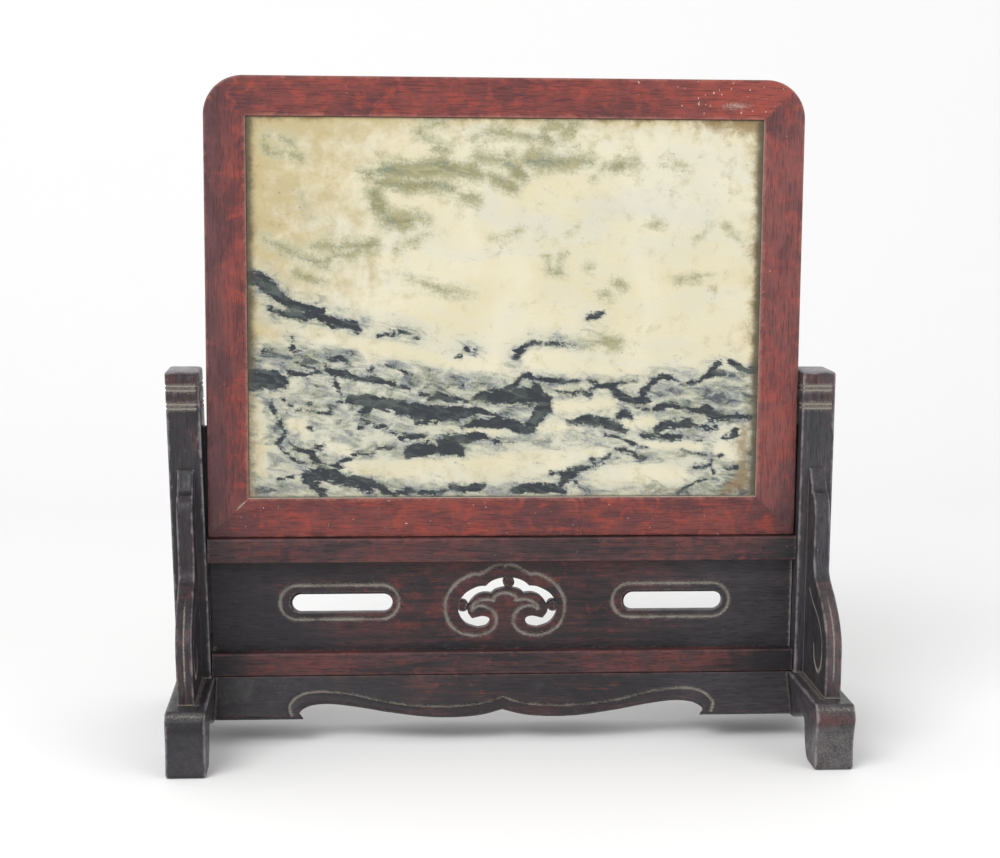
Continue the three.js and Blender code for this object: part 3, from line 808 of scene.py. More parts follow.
dark_veins = [
    [(-171, 315, 5), (-163, 314, 4.5), (-157, 309, 4.5), (-150, 302, 4), (-141, 296.5, 3.2), (-132, 294, 2.5),
     (-120, 291, 1.6)],
    [(-157, 293, 2), (-143, 290, 2.2), (-135, 289, 3), (-127, 289, 2.2), (-119, 287, 3),
     (-112, 284.6, 3), (-106, 283, 2.2), (-101, 282.5, 2), (-97, 278.6, 1.4)],
    [(-70, 279.6, 1), (-64, 278, 1.2), (-58, 275, 1)],
    [(-160, 266.6, 1), (-152.5, 264, 1)],
    [(-139, 264, 1), (-131, 262, 1)],
    [(-118, 263, 1), (-110, 260.5, 1)],
    [(-110, 262, 1), (-102, 257, 1)],
    [(-142, 275, 0.8), (-141, 267, 0.8)],
    [(-170, 246, 7), (-155, 246, 7), (-147, 245, 4)],
    [(-146, 253.6, 1.5), (-140, 250.6, 1), (-132, 250, 1), (-124, 252, 1.3), (-118, 251.6, 1.5),
     (-112, 250.6, 2.2), (-104, 249.6, 2.2), (-98, 246.6, 2), (-89, 247, 2), (-81, 245.6, 2),
     (-74, 243.6, 2), (-71, 241.6, 1.2), (-63, 240.6, 0.8)],
    [(-120, 255.6, 1.2), (-110, 250.6, 1.8)],
    [(-90, 253, 0.8), (-83, 256, 1), (-76, 255.6, 1.2), (-70, 254, 1.2), (-64, 250, 1.2)],
    [(-113, 247, 1), (-110, 240, 1), (-109, 233, 1)],
    [(-104, 234, 3), (-97, 233, 4), (-88, 231.5, 4), (-80, 230.5, 4.3), (-70, 228.5, 4.8), (-60, 225.5, 5.2),
     (-50, 224, 5.6), (-40, 223.5, 5.4), (-30, 223.5, 5), (-20, 225, 3), (-10, 223.8, 1.8), (3, 220, 1.2)],
    [(-57, 218, 1.5), (-45, 217.5, 2)],
    [(-93, 225, 4), (-92, 226, 4)],
    [(-94, 219.6, 0.8), (-88, 215.6, 0.8)],
    [(-96, 214.6, 0.8), (-91, 216, 0.9), (-81, 214, 1), (-74, 210.6, 1.5), (-68, 207.6, 2), (-51, 208, 1.5)],
    [(-74, 200.6, 1), (-81, 199.6, 1), (-86, 199.6, 1), (-90, 194.6, 1), (-98, 196.6, 1), (-104, 193.6, 1),
     (-110, 190.6, 1), (-113, 188.6, 1)],
    [(-64, 197, 4), (-56, 199, 4), (-47, 200, 4), (-40, 200.6, 5.5), (-33, 200.4, 6), (-28, 197.6, 4)],
    [(-49, 205.6, 1), (-45, 201.6, 1)],
    [(-36.5, 206, 4), (-35.5, 206, 3.5)],
    [(-143, 203, 1.2), (-134, 199.6, 1.5), (-129, 196.6, 2.5), (-126, 192.6, 3), (-121, 189.6, 1.5),
     (-114, 188, 1.2), (-108, 186.6, 1)],
    [(-126, 201.6, 1), (-120, 202, 1)],
    [(-124, 197.6, 1), (-119, 196, 1)],
    [(-152, 203.6, 1), (-147, 198.6, 1), (-142, 193.6, 1), (-137, 190.6, 1.5), (-133, 189.6, 1)],
    [(-155, 230.6, 1), (-153, 223.6, 1), (-149, 219.6, 2), (-150, 214.6, 1.5), (-146, 210.6, 1),
     (-149, 205.6, 1), (-152, 204, 1)],
    [(-148, 233.6, 1), (-142, 228.6, 1.5)],
    [(-131, 229, 1.2), (-130, 229, 1.2)],
    [(-139, 225.6, 0.8), (-126, 225, 1), (-118, 224.6, 1), (-115, 226, 1)],
    [(-151, 179.6, 0.8), (-142, 180.8, 0.8)],
    [(-132, 182, 3.2), (-118, 182, 4.4), (-112, 180, 4.4), (-104, 178.6, 4), (-94, 177, 3.8),
     (-84, 174.4, 3), (-78, 171, 2), (-73, 168.6, 1.4)],
    [(-131, 179, 3.2), (-126, 173.6, 4.2), (-121, 169, 3)],
    [(-104, 184, 1), (-100, 182, 1)],
    [(-104, 175.6, 0.8), (-94, 172, 0.8), (-86, 169, 0.8)],
    [(-64, 171, 2), (-63, 171, 2)],
    [(-25, 266.6, 2), (-22.5, 264.4, 2), (-20, 263.4, 1)],
    [(-37.4, 241, 0.8), (-33.4, 243, 1), (-27.4, 241.6, 1)],
    [(-51, 232.6, 1.5), (-44, 235.6, 2.8), (-37, 233.6, 2.5), (-27, 232.6, 1.2), (-21, 230.6, 0.8)],
    [(-18, 233, 3.2), (-10, 235, 4.6), (0, 235, 4.8), (10, 235, 5.6), (20, 236, 6)],
    [(2.6, 240.6, 1.5), (8.6, 243.6, 2), (12.6, 248.6, 1.5), (16.6, 249, 1.5), (20.6, 246.6, 1.5),
     (32.6, 246, 2.2), (40.6, 244.6, 1.8), (51.6, 245.6, 1.2)],
    [(20, 235, 6), (22, 239, 5), (27, 233, 6), (28, 227, 5), (24, 222, 4.6), (19, 216, 4)],
    [(4.6, 217, 3.2), (10.6, 213.6, 3.8), (14.6, 212, 3.2), (20.6, 212.6, 2.4)],
    [(-27.4, 214.6, 1), (-17.4, 216.6, 3), (-7.4, 216.6, 3), (2.6, 217.6, 3.4), (8.6, 214.6, 3)],
    [(-32.4, 208.6, 1.5), (-24.4, 206, 4), (-18.4, 208, 3.5), (-13.4, 207.6, 2), (-7.4, 204.6, 1),
     (-1.4, 203.6, 0.8), (6.6, 203, 0.6)],
    [(7.6, 260.6, 1), (10.6, 264.6, 2.5), (12.6, 267.6, 2), (16.6, 269.6, 1.5), (20.6, 272, 1.5),
     (25.6, 271.6, 1)],
    [(30.6, 271, 1.2), (36.6, 271, 1), (42.6, 270, 0.8), (47.6, 269, 0.6)],
    [(58, 288.5, 1.5), (63, 289, 2), (66.5, 291, 1.5)],
    [(37.6, 238.6, 0.8), (42.6, 238, 1), (47.6, 236.6, 1.3), (52.6, 238.6, 1.5), (59, 235.6, 1.2)],
    [(59, 246, 1.8), (64, 244.6, 0.6)],
    [(59, 239.6, 1), (65, 241.6, 1.5), (71, 242.6, 2.5), (76, 242.6, 2.5), (79, 244.6, 1), (91, 245.6, 0.6)],
    [(74, 240.6, 2), (78, 237.6, 2), (83, 233.6, 3), (89, 232, 3), (95, 232.6, 3), (99, 233, 1.5)],
    [(95, 236.6, 1.5), (97, 239.6, 2), (100, 242.6, 2.2), (103, 245.6, 2), (108, 249, 1.2), (113, 248, 1),
     (118, 246.6, 0.6)],
    [(124, 244, 0.8), (128, 245, 1), (133, 244.6, 0.8), (136, 247.6, 2.2), (141, 250.6, 3),
     (146, 257.6, 1.5)],
    [(141, 251, 2), (150, 251, 2)],
    [(154, 258.6, 1.2), (159, 256.6, 2), (164, 253.6, 2), (170, 252.6, 2.5)],
    [(86, 230.6, 0.7), (92, 227.6, 0.7), (99, 225.6, 0.8), (105, 227, 1.5), (111, 228.6, 2.5),
     (119, 229, 2.5), (124, 228, 1.8), (131, 225.6, 2), (139, 225.6, 3), (144, 222, 3.5),
     (149, 220.6, 3), (159, 221, 2), (169, 221, 2)],
    [(44, 218, 1), (50, 218.5, 2), (56, 219, 3.5), (59, 218.6, 3.5), (69, 216.6, 3.5), (76, 214.6, 3),
     (81, 212, 1.5), (84, 211, 0.8)],
    [(78, 220.6, 2), (82, 223.6, 2.5), (87, 220.6, 1.5)],
    [(93, 209.6, 1), (99, 208.6, 2.2), (107, 207.6, 2.2), (115, 207.6, 1.5), (120, 206.6, 0.8)],
    [(106, 211.6, 3), (109, 215.6, 3), (115, 216.6, 2.5), (123, 217, 2), (129, 216.6, 2.5),
     (137, 214.6, 1.8), (144, 213.6, 0.8)],
    [(70, 209, 0.7), (79, 206.6, 0.8), (86, 203.6, 0.8), (93, 200.6, 0.8), (99, 200, 0.7)],
    [(76, 199, 0.8), (85, 198, 1.8), (90, 195.6, 1.5), (95, 193.6, 2), (98, 193.6, 1)],
    [(63, 188.6, 0.8), (68, 190.6, 1), (73, 194.6, 1.2)],
    [(144, 194.3, 0.8), (149, 194.3, 0.8)],
    [(158, 209.6, 2), (159, 209.6, 2)],
    [(152, 185, 1), (157, 185, 1.2), (161, 187, 0.8)],
    [(-34, 173, 1.5), (-25, 172, 3), (-17, 172.5, 3), (-13, 175, 1)],
    [(9, 170, 2), (15, 173, 4), (25, 172, 3.5), (35, 172, 3), (42, 170, 1.5)],
    [(33.6, 182.6, 1.5), (38.6, 182.6, 1.5), (43.6, 180.6, 3.5), (48.6, 182.6, 3), (55.6, 185.6, 2.5),
     (60, 186, 2)],
    [(42.6, 178.6, 2), (39.6, 174.6, 2)],
    [(49.6, 176.6, 0.8), (55, 172, 0.8), (58, 169.5, 0.8)],
    [(121, 168.6, 1.5), (125, 171.6, 1.2), (129, 173.6, 1), (132, 175.6, 1.5), (136, 177, 1),
     (140, 178, 0.8)],
    [(-84, 275.5, 0.7), (-74, 278, 0.7)],
    [(-140, 259, 1), (-127, 254, 1)],
    [(-127, 241.5, 0.9), (-124, 241.5, 0.9)],
    [(-144, 224.6, 1), (-142, 224, 1)],
    [(-129.5, 214, 1), (-128, 213.6, 1)],
    [(-113, 217, 0.8), (-110, 217, 0.8)],
    [(-80, 169, 0.9), (-57, 170, 1.2), (-37, 170, 1)],
    [(-32, 261.6, 0.7), (-29, 262.4, 0.7)],
    [(-20, 244, 0.7), (-13, 244, 0.7)],
    [(-56, 236, 1), (-50, 236, 1)],
    [(-4, 206.6, 0.7), (6.6, 204, 0.7)],
    [(154, 249, 1), (158, 250, 1)],
    [(118, 246.6, 0.7), (123, 243.6, 0.7)],
    [(121, 208.6, 0.8), (128, 206.6, 0.9), (135, 205.6, 0.8)],
    [(61, 191, 1.1), (63, 190.6, 1.1)],
    [(123, 197.6, 0.7), (139, 194.6, 0.7)],
    [(131, 187, 0.9), (139, 187, 0.9)],
    [(143, 191.6, 0.9), (142.4, 187, 0.8), (144, 182.6, 0.9)],
    [(150, 207, 0.8), (160, 207.6, 0.8)],
]

green_veins = [
    [(-95, 383.5, 2), (-85, 385, 3), (-78, 386, 5), (-68, 386, 5.5), (-57, 386, 5), (-48, 388, 5),
     (-40, 388.5, 5), (-32, 386, 4), (-22, 385.5, 4), (-16, 383, 2)],
    [(-86, 371, 4), (-84, 364, 4.5), (-80, 357, 3)],
    [(-76, 352, 4), (-64, 352, 4)],
    [(-84, 378, 3), (-66, 376, 3), (-46, 377, 3.4), (-34, 374, 2.4)],
    [(-84, 363, 1.5), (-81, 355, 1.5), (-75, 350, 1.5), (-68, 348.5, 1.5), (-63, 350, 1.5)],
    [(-57, 356, 1), (-49, 352, 1)],
    [(-33, 372.5, 1.2), (-29, 370.5, 1.5), (-23, 368.5, 2), (-18, 367.5, 1.2)],
    [(-17, 396, 1.5), (-13, 394, 1.8), (0, 393, 0.8), (2, 395, 2.5)],
    [(2, 391, 2.5), (8, 387, 4), (13, 383, 3)],
    [(17, 393, 4), (25, 393, 5), (33, 392, 4.5), (42, 392, 3), (50, 393, 2), (58, 392.5, 1.2)],
    [(-9, 383, 1), (-2, 380, 2.5), (4, 376, 3), (8, 374, 1.5)],
    [(-17.4, 408.5, 1), (-9.4, 411, 1), (6.6, 410, 0.7), (13, 408.5, 1.5), (17, 408, 1.8), (25, 408.5, 2),
     (29, 406.5, 2.2), (33, 404.5, 1)],
    [(-46, 400, 1.5), (-39, 400, 1.5)],
    [(-53, 421, 1), (-47, 420, 2), (-42, 417, 0.8)],
    [(65, 388, 1), (72, 388.5, 2), (78, 389.5, 2), (82, 391.5, 1), (87, 393, 1.5)],
    [(-160, 340, 1), (-147, 335, 1.5), (-140, 331, 1.5), (-132, 327, 2), (-124, 325.5, 2), (-118, 323, 1.5)],
    [(-127, 335, 0.8), (-118, 337, 1), (-110, 335.5, 1), (-104, 338, 1.3)],
    [(-118, 327, 1), (-112, 330, 1), (-104, 329, 1), (-98, 333, 1.3)],
    [(-139, 318, 1), (-130, 315, 1), (-124, 312, 1), (-121, 313, 1)],
    [(119, 314, -1), (126, 315, -0.5), (139, 317, -1)],
    [(-66, 314, -1), (-52, 311, 0), (-38, 306, 1), (-20, 303, -1)],
    [(47, 271, 1), (62, 272, 1.5), (77, 272, 2)],
    [(9, 377, -1), (11, 377, -1)],
    [(20, 384, -1), (38, 388, 0)],
    [(25.6, 413.5, 0.9), (37.6, 415.5, 0.9)],
    [(38, 410, 1), (48, 418, 1)],
    [(-57, 411.5, 0.8), (-49, 404.5, 0.8)],
    [(106, 389.5, -1.5), (125, 389.5, -1)],
    [(59, 382, -1), (61, 382, -1)],
    [(-114, 333, 0), (-110, 327, 0)],
    [(-102, 336, 2), (-86, 337, 2.4)],
    [(-72, 334, -1), (-60, 339, 0), (-50, 344, -1)],
    [(-159, 406, 0.8), (-154, 408, 0.8), (-148, 406.5, 0.8), (-140, 403.5, 0.8)],
    [(-159, 400, 0.9), (-155, 397, 0.9), (-147, 396.2, 0.9)],
    [(-141, 396, 0.9), (-134, 393.8, 0.9)],
    [(29, 329, 0), (32, 320, 1), (38, 319, 1), (38, 330, -1)],
    [(56, 322.5, -1), (58, 322, -1)],
    [(-9, 341, -2), (9, 346, -1)],
    [(43, 345, -2), (49, 349, -2)],
    [(99, 350, -1.5), (104, 350, -1.5)],
    [(128, 340.5, -2), (134, 344, -2)],
    [(68, 305, 0.5), (72, 301, 0)],
    [(77, 313, 0), (82, 310, 0)],
    [(-134, 370, -2), (-128, 352, -2)],
    [(150, 352, -2), (158, 340, -2)],
]

grey_zones = [
    [(-168, 262, 7), (-150, 260, 8), (-126, 260, 7), (-100, 263, 4)],
    [(-165, 305, 3), (-150, 296, 3.5), (-132, 291, 4), (-112, 287, 4), (-94, 284, 3)],
    [(-146, 231, 3), (-128, 229, 4), (-108, 229, 3)],
    [(-102, 228, 5), (-90, 221, 5), (-78, 216, 3)],
    [(-165, 172, 5), (-141, 173, 4)],
    [(-84, 170, 2), (-47, 172, 3), (-8, 170, 2)],
    [(-74, 262, 2), (-40, 250, 4), (0, 245, 3)],
    [(-30, 219, 4), (-5, 218, 4)],
    [(-1, 226, 4), (16, 226, 4)],
    [(10, 242, 3), (20, 243, 3)],
    [(74, 240, 4), (94, 236, 4)],
    [(107, 238, 5), (132, 238, 6), (150, 237, 8), (168, 233, 8)],
    [(146, 224, 4), (172, 222, 6)],
    [(120, 209, 3), (139, 208, 4)],
    [(100, 197, 3), (124, 195, 3)],
    [(56, 208, 2), (74, 207, 2)],
    [(0, 206, 3), (32, 205, 3)],
    [(70, 183, 2), (82, 183, 2)],
    [(126, 171, 4), (150, 173, 7), (168, 172, 8)],
    [(156, 178, 7), (168, 190, 8)],
]

clean_zones = [
    [(-104, 188, 4), (-90, 187, 6), (-60, 185, 7), (-30, 184, 8), (-4, 186, 9), (28, 190, 8), (66, 196, 4)],
    [(-120, 276, 3), (-90, 268, 4), (-50, 262, 6), (-10, 256, 5)],
    [(-163, 228, 3), (-162, 185, 4)],
    [(-141, 217, 5), (-132, 212, 5)],
    [(-24, 211, 2), (-5, 210, 2)],
    [(-118, 203, 4), (-106, 198, 4)],
    [(20, 259, 7), (90, 259, 7)],
    [(66, 180, 5), (95, 182, 7), (122, 181, 5)],
    [(38, 229, 4), (74, 229, 4)],
    [(26, 214, 3), (42, 214, 3)],
    [(84, 216, 4), (100, 218, 4)],
    [(100, 202, 3), (134, 201, 3)],
    [(150, 211, 3), (162, 210, 4)],
    [(150, 199, 5), (160, 196, 5)],
]

stains = [
    [(-170, 166, 5), (-169.5, 421, 5)],
    [(-171, 420, 4), (-115, 420, 2.5)],
    [(-112, 404, 1), (-110, 404.6, 1)],
    [(-90, 400, 0.5), (-82, 397, 0.5)],
    [(-20, 406, 0.5), (-12, 404, 0.5)],
    [(45, 409, 0.8), (52, 409, 0.8)],
    [(119, 421, 4), (144, 419, 8), (160, 419, 8), (170, 416, 8)],
    [(152, 399, 0.4), (151.6, 375, 0.4)],
    [(154.6, 398, 0.8), (154.6, 390, 0.8)],
    [(143, 395.5, 1), (143.4, 394, 1)],
    [(146.7, 386, 1), (146.7, 384, 1)],
    [(150, 405, 1), (150.6, 404, 1)],
    [(140.4, 307.4, 1.4), (140.6, 307.2, 1.4)],
    [(171.5, 166, 4), (171.5, 421, 4)],
    [(150, 168, 4), (164, 178, 8), (165, 210, 6)],
    [(-60, 421, 1), (20, 420, 0), (100, 420, 2)],
    [(-134, 395, -1), (-120, 385, -2)],
    [(-122, 352, -1), (-108, 340, -2)],
    [(-160, 380, -1), (-155, 350, -1)],
    [(100, 171, 2.5), (125, 170.6, 2.5)],
    [(-51, 268, 0.5), (-45, 265, 0.5)],
    [(-52, 193.5, 0.6), (-48, 193, 0.6)],
]

cool_zones = [
    [(-11, 379, 9), (-10, 359, 9)],
    [(8, 351, 8), (32, 351, 8)],
    [(62, 361, 12), (94, 361, 12)],
    [(104, 360, 12), (138, 356, 12)],
]

slab_columns = 318
slab_rows = 234
back_share = 3


def stroke_field(points, strokes, slope, limit=1.0):
    """Above 0.5 inside a stroke, falling off with the distance from its edge."""
    field = np.zeros(len(points))
    for stroke in strokes:
        knots = np.array(stroke, float)
        reach = knots[:, 2].max() + 0.5 / slope
        low = knots[:, :2].min(axis=0) - reach
        high = knots[:, :2].max(axis=0) + reach
        close = np.flatnonzero(((points > low) & (points < high)).all(axis=1))
        near = points[close]
        best = np.zeros(len(close))
        for start, end in zip(knots[:-1], knots[1:]):
            along = end[:2] - start[:2]
            share = np.clip((near - start[:2]) @ along / max(along @ along, 1e-9), 0, 1)
            away = near - start[:2] - share[:, None] * along
            half = start[2] + share * (end[2] - start[2])
            best = np.maximum(best, 0.5 + slope * (half - np.hypot(away[:, 0], away[:, 1])))
        field[close] = np.maximum(field[close], np.minimum(best, limit))
    return field


def paint_marble(piece):
    flat = positions(piece)[:, [0, 2]] + [shift, 0]
    x, z = flat.T
    along = x * math.cos(vein_tilt) - z * math.sin(vein_tilt)
    over = x * math.sin(vein_tilt) + z * math.cos(vein_tilt)
    drawn = np.column_stack([along * 0.45, over])
    warp = 1.1 * noise(drawn, 8, 11, 3) + 0.7 * noise(drawn, 2.8, 12, 2)
    slide = 1.6 * noise(drawn, 9, 15, 3)
    bent = flat + np.column_stack([slide, warp])

    from_left = x - opening_left - shift
    from_right = opening_right + shift - x
    border = np.min([from_left, from_right, z - opening_bottom, opening_top - z], axis=0)
    aged = blend(-30, -165, x) * (0.4 + 0.6 * blend(235, 300, z))
    # The rim layer darkens the edges: brown grime along the left and right sides, and a painted shadow of the
    # frame's edge as a thin dark line round all sides and along the right side
    left_rim = 0.85 * fade(from_left, 5.4) * (0.35 + 0.65 * blend(225, 260, z))
    right_rim = 0.95 * fade(from_right, 5.0)

    veil = stroke_field(bent, dark_veins, slope=0.032) * blend(330, 290, z + 0.3 * x)
    veil *= 0.95 + 0.3 * noise(drawn, 22, 17, 2)
    haze_top = 248 + np.where(bent[:, 0] < 0, -0.14, 0.08) * bent[:, 0]
    low_haze = blend(haze_top + 4, haze_top - 8, bent[:, 1]) * (0.5 + 0.22 * noise(drawn, 26, 19, 2))
    haze = np.max([veil, low_haze, stroke_field(bent, grey_zones, slope=0.05, limit=0.72)], axis=0)
    clean = stroke_field(bent, clean_zones, slope=0.06, limit=0.8)
    paint(
        piece,
        dark=stroke_field(bent, dark_veins, slope=0.14, limit=0.86),
        haze=haze * (1 - 0.75 * blend(0.3, 0.75, clean)),
        green=stroke_field(bent, green_veins, slope=0.055, limit=0.8),
        stain=stroke_field(bent, stains, slope=0.06, limit=0.9),
        cool=stroke_field(flat, cool_zones, slope=0.03),
        age=0.8 * np.exp(-border / 9) + 0.7 * aged,
        rim=np.max([0.75 * np.exp(-border / 1.6), left_rim, right_rim], axis=0),
    )


def slab_ring(columns, rows, left, right, low, high, y):
    """Points round a rectangle, anticlockwise from its lower left, seen from the front."""
    x = np.linspace(left, right, columns + 1)
    z = np.linspace(low, high, rows + 1)
    bottom = [(value, y, low) for value in x[:-1]]
    side = [(right, y, value) for value in z[:-1]]
    top = [(value, y, high) for value in x[:0:-1]]
    other = [(left, y, value) for value in z[:0:-1]]
    return bottom + side + top + other


def grid_faces(columns, rows, first):
    index = first + np.arange((columns + 1) * (rows + 1)).reshape(rows + 1, columns + 1)
    quads = np.stack([index[:-1, :-1], index[:-1, 1:], index[1:, 1:], index[1:, :-1]], axis=2)
    border = [index[0, :-1], index[:-1, -1], index[-1, :0:-1], index[:0:-1, 0]]
    return [tuple(face) for face in quads.reshape(-1, 4)], np.concatenate(border)


def marble_slab():
    left, right = opening_left + gap, opening_right - gap
    low, high = opening_bottom + gap, opening_top - gap
    back = slab_front + slab_thickness
    vertices = []
    faces = []
    borders = []
    for columns, rows, y, sign in (
        (slab_columns, slab_rows, slab_front, 1),
        (slab_columns // back_share, slab_rows // back_share, back, -1),
    ):
        x, z = np.meshgrid(np.linspace(left, right, columns + 1), np.linspace(low, high, rows + 1))
        hollow = 0.05 + 0.05 * noise(np.column_stack([x.ravel(), z.ravel()]), 40, 5, 2)
        spots = np.column_stack([x.ravel(), np.full(x.size, y) + sign * hollow, z.ravel()])
        quads, border = grid_faces(columns, rows, len(vertices))
        vertices.extend(spots.tolist())
        faces.extend(quads)
        borders.append(border)
    reach = slab_tongue - gap
    tongue_front = slab_front + slab_tongue_setback
    tongue_back = tongue_front + slab_tongue_thickness
    chain = borders[0]
    back_edge = back - 0.4
    sections = [
        (0, tongue_front), (reach, tongue_front), (reach, tongue_back), (0, tongue_back), (0, back_edge),
    ]
    for out, y in sections:
        first = len(vertices)
        ring = slab_ring(slab_columns, slab_rows, left - out, right + out, low - out, high + out, y)
        vertices.extend(ring)
        following = first + np.arange(len(ring))
        strip = np.column_stack([chain, np.roll(chain, -1), np.roll(following, -1), following])
        faces.extend(tuple(face) for face in strip)
        chain = following
    coarse = borders[1]
    for index, corner in enumerate(coarse):
        following = coarse[(index + 1) % len(coarse)]
        start = index * back_share
        fine = [chain[(start + step) % len(chain)] for step in range(back_share + 1)]
        faces.append((corner, fine[0], fine[1]))
        faces.append((corner, fine[1], following))
        for step in range(1, back_share):
            faces.append((following, fine[step], fine[step + 1]))
    piece = mesh_object("marble_slab", vertices, faces)
    paint_marble(piece)
    belongs(piece, "marble_panel", marble_look())


# Frame members, each between the mitre lines at its two ends

def frame_outline(spacing):
    radius = frame_corner_radius
    right = (frame_right - radius, frame_top - radius)
    left = (frame_left + radius, frame_top - radius)
    return joined([
        straight((frame_left, frame_bottom), (frame_right, frame_bottom), spacing),
        straight((frame_right, frame_bottom), (frame_right, frame_top - radius), spacing),
        arc(right, radius, 0, math.pi / 2, spacing),
        straight((right[0], frame_top), (left[0], frame_top), spacing),
        arc(left, radius, math.pi / 2, math.pi, spacing),
        straight((frame_left, frame_top - radius), (frame_left, frame_bottom), spacing),
    ])


def mitre_lines():
    """Corners of the frame and of its opening, clockwise from the upper left."""
    outer = np.array([
        [frame_left, frame_top], [frame_right, frame_top],
        [frame_right, frame_bottom], [frame_left, frame_bottom],
    ])
    inner = np.array([
        [opening_left, opening_top], [opening_right, opening_top],
        [opening_right, opening_bottom], [opening_left, opening_bottom],
    ])
    return outer, inner


def member_corners(first, second, outward):
    """Corners of the area between two mitres, which reaches past the frame's outer edge."""
    outer, inner = mitre_lines()
    step = np.array(outward, float) * mitre_gap
    start, end = inner[first] + step, inner[second] + step
    along = (end - start) / np.hypot(*(end - start)) * mitre_gap
    past_edge = 0.4
    corners = [
        outer[corner] - past_edge * (inner[corner] - outer[corner]) + step for corner in (first, second)
    ]
    return corners + [inner[second] - along, inner[first] + along]


def cut_frame_grooves(piece, outward):
    """The groove for the slab's edge, and on each side the slot for a post's tongue."""
    groove_front = slab_front + slab_tongue_setback - gap
    groove_back = groove_front + slab_tongue_thickness + 2 * gap
    combine(
        piece, "DIFFERENCE",
        (opening_left - slab_tongue, groove_front, opening_bottom - slab_tongue),
        (opening_right + slab_tongue, groove_back, opening_top + slab_tongue),
    )
    half = tongue_thickness / 2 + gap
    past = 5
    for side, low, high in (
        (-1, frame_left - past, frame_left + tongue_slot_depth),
        (1, frame_right - tongue_slot_depth, frame_right + past),
    ):
        if side * outward[0] >= 0:
            combine(piece, "DIFFERENCE", (low, -half, frame_bottom - past), (high, half, tongue_top + gap))


def frame_member(name, first, second, outward, look, seed):
    corners = member_corners(first, second, outward)
    region = closed([tuple(corner) for corner in corners], frame_spacing)
    outline = frame_outline(frame_spacing)

    def solid_at(points):
        return inside(points, outline) & inside(points, region)

    rims = [(outline, frame_edge_radius), (region, mitre_edge_radius)]
    board = Board(name, rims, solid_at, 3.2, seed=seed)
    opening_side = np.array([corners[2]]), np.array([corners[3]])
    mitres = np.array([corners[1], corners[3]]), np.array([corners[2], corners[0]])
    meeting = distance(board.flat, *mitres)
    to_opening = distance(board.flat, *opening_side)
    to_outline = distance(board.flat, *sides_of(outline))
    edges = np.max([
        rounding(to_outline, frame_edge_radius), rounding(to_opening, 0.6), rounding(meeting, 0.12),
    ], axis=0)
    worn = 0.12 + 0.1 * noise(board.flat, 30, seed + 3) + 0.04 * noise(board.flat, 6, seed + 5, 2)
    front = edges + worn * blend(0, 2, np.minimum(meeting, to_opening))
    piece = board.build(frame_depth, front, edges + 0.05, frontal_place(-frame_depth / 2))
    cut_frame_grooves(piece, outward)

    where = positions(piece)
    flat = where[:, [0, 2]]
    depth = np.minimum(where[:, 1] + frame_depth / 2, frame_depth / 2 - where[:, 1])
    to_opening = distance(flat, *opening_side)
    edge = np.hypot(np.minimum(distance(flat, *sides_of(outline)), to_opening), depth)
    paint(
        piece,
        wear=0.8 * fade(edge, 1.6),
        dust=frame_dust(where, outward, to_opening, distance(flat, *mitres)),
        tone=frame_tone(where, outward, seed),
        scuff=frame_scuff(*flat.T),
        sheen=frame_sheen(flat[:, 0], outward),
    )
    belongs(piece, name, look)


def frame_tone(where, outward, seed):
    x, _, z = where.T
    tone = 0.55 + 0.2 * noise(where[:, [0, 2]], 45, seed + 7, 2)
    if outward[0] < 0:
        tone = 0.2 + 0.32 * blend(frame_left + 3, frame_left + 20, x) + 0.15 * noise(where, 30, seed + 7, 2)
    if outward[0] > 0:
        tone += 0.25 * fade(z - 205, 45) + 0.2 * fade(z - 395, 16) - 0.04
    tone -= 0.3 * fade(frame_right - x, 16) * (z < 190) + 0.3 * fade(x - frame_left, 20) * (z < 175)
    return tone + 0.3 * (outward[1] > 0) * blend(90, 170, x)


def frame_scuff(x, z):
    """Light chips, most of them at the right end of the top rail."""
    return 0.2 + 0.95 * fade(np.hypot((x - 150) / 62, (z - 432) / 20), 1) + 0.35 * (z < opening_bottom)


def frame_sheen(x, outward):
    # Painted sheen: lighter on the right stile, toward the outer edge of the left stile and toward the right
    # end of the top rail
    sheen = 0.15 + 0.55 * (outward[0] > 0) + 0.3 * (outward[0] < 0) * blend(opening_left, frame_left, x)
    return sheen + 0.25 * (outward[1] > 0) * blend(60, 180, x)


def frame_dust(where, outward, to_opening, to_mitre):
    """Dust on the ledge of the opening, in a rubbed patch of the top rail and in the lower left mitre."""
    x, y, z = where.T
    ledge = fade(to_opening, 0.4) * (y < -frame_depth / 2 + 6)
    lodged = 1.0 if outward[1] < 0 else 0.7
    patch = 0.62 * fade(np.hypot((x - 152) / 12, (z - 430) / 3), 1)
    corner = fade(np.hypot((x - opening_left + 5) / 6, (z - opening_bottom + 5) / 6), 1)
    patch = patch + 0.75 * corner * fade(to_mitre, 0.8)
    return np.maximum((outward[1] <= 0) * lodged * ledge, patch * (y < 0))


# Posts

def side_of(placement):
    return math.copysign(1, placement["centre"])


def post_middle(placement, height):
    return placement["centre"] + side_of(placement) * placement["lean"] * (height - foot_height)


def inner_face(placement, height):
    return post_middle(placement, height) - side_of(placement) * post_width / 2


def line_share(x, y, face_reach):
    """How much of the incised lines there is: on the front face they stop short of the right arris."""
    half_x, half_y = post_width / 2, post_depth / 2
    return np.where(y < -half_y + face_reach, blend(half_x - 1.2, half_x - 2.6, x), 1)


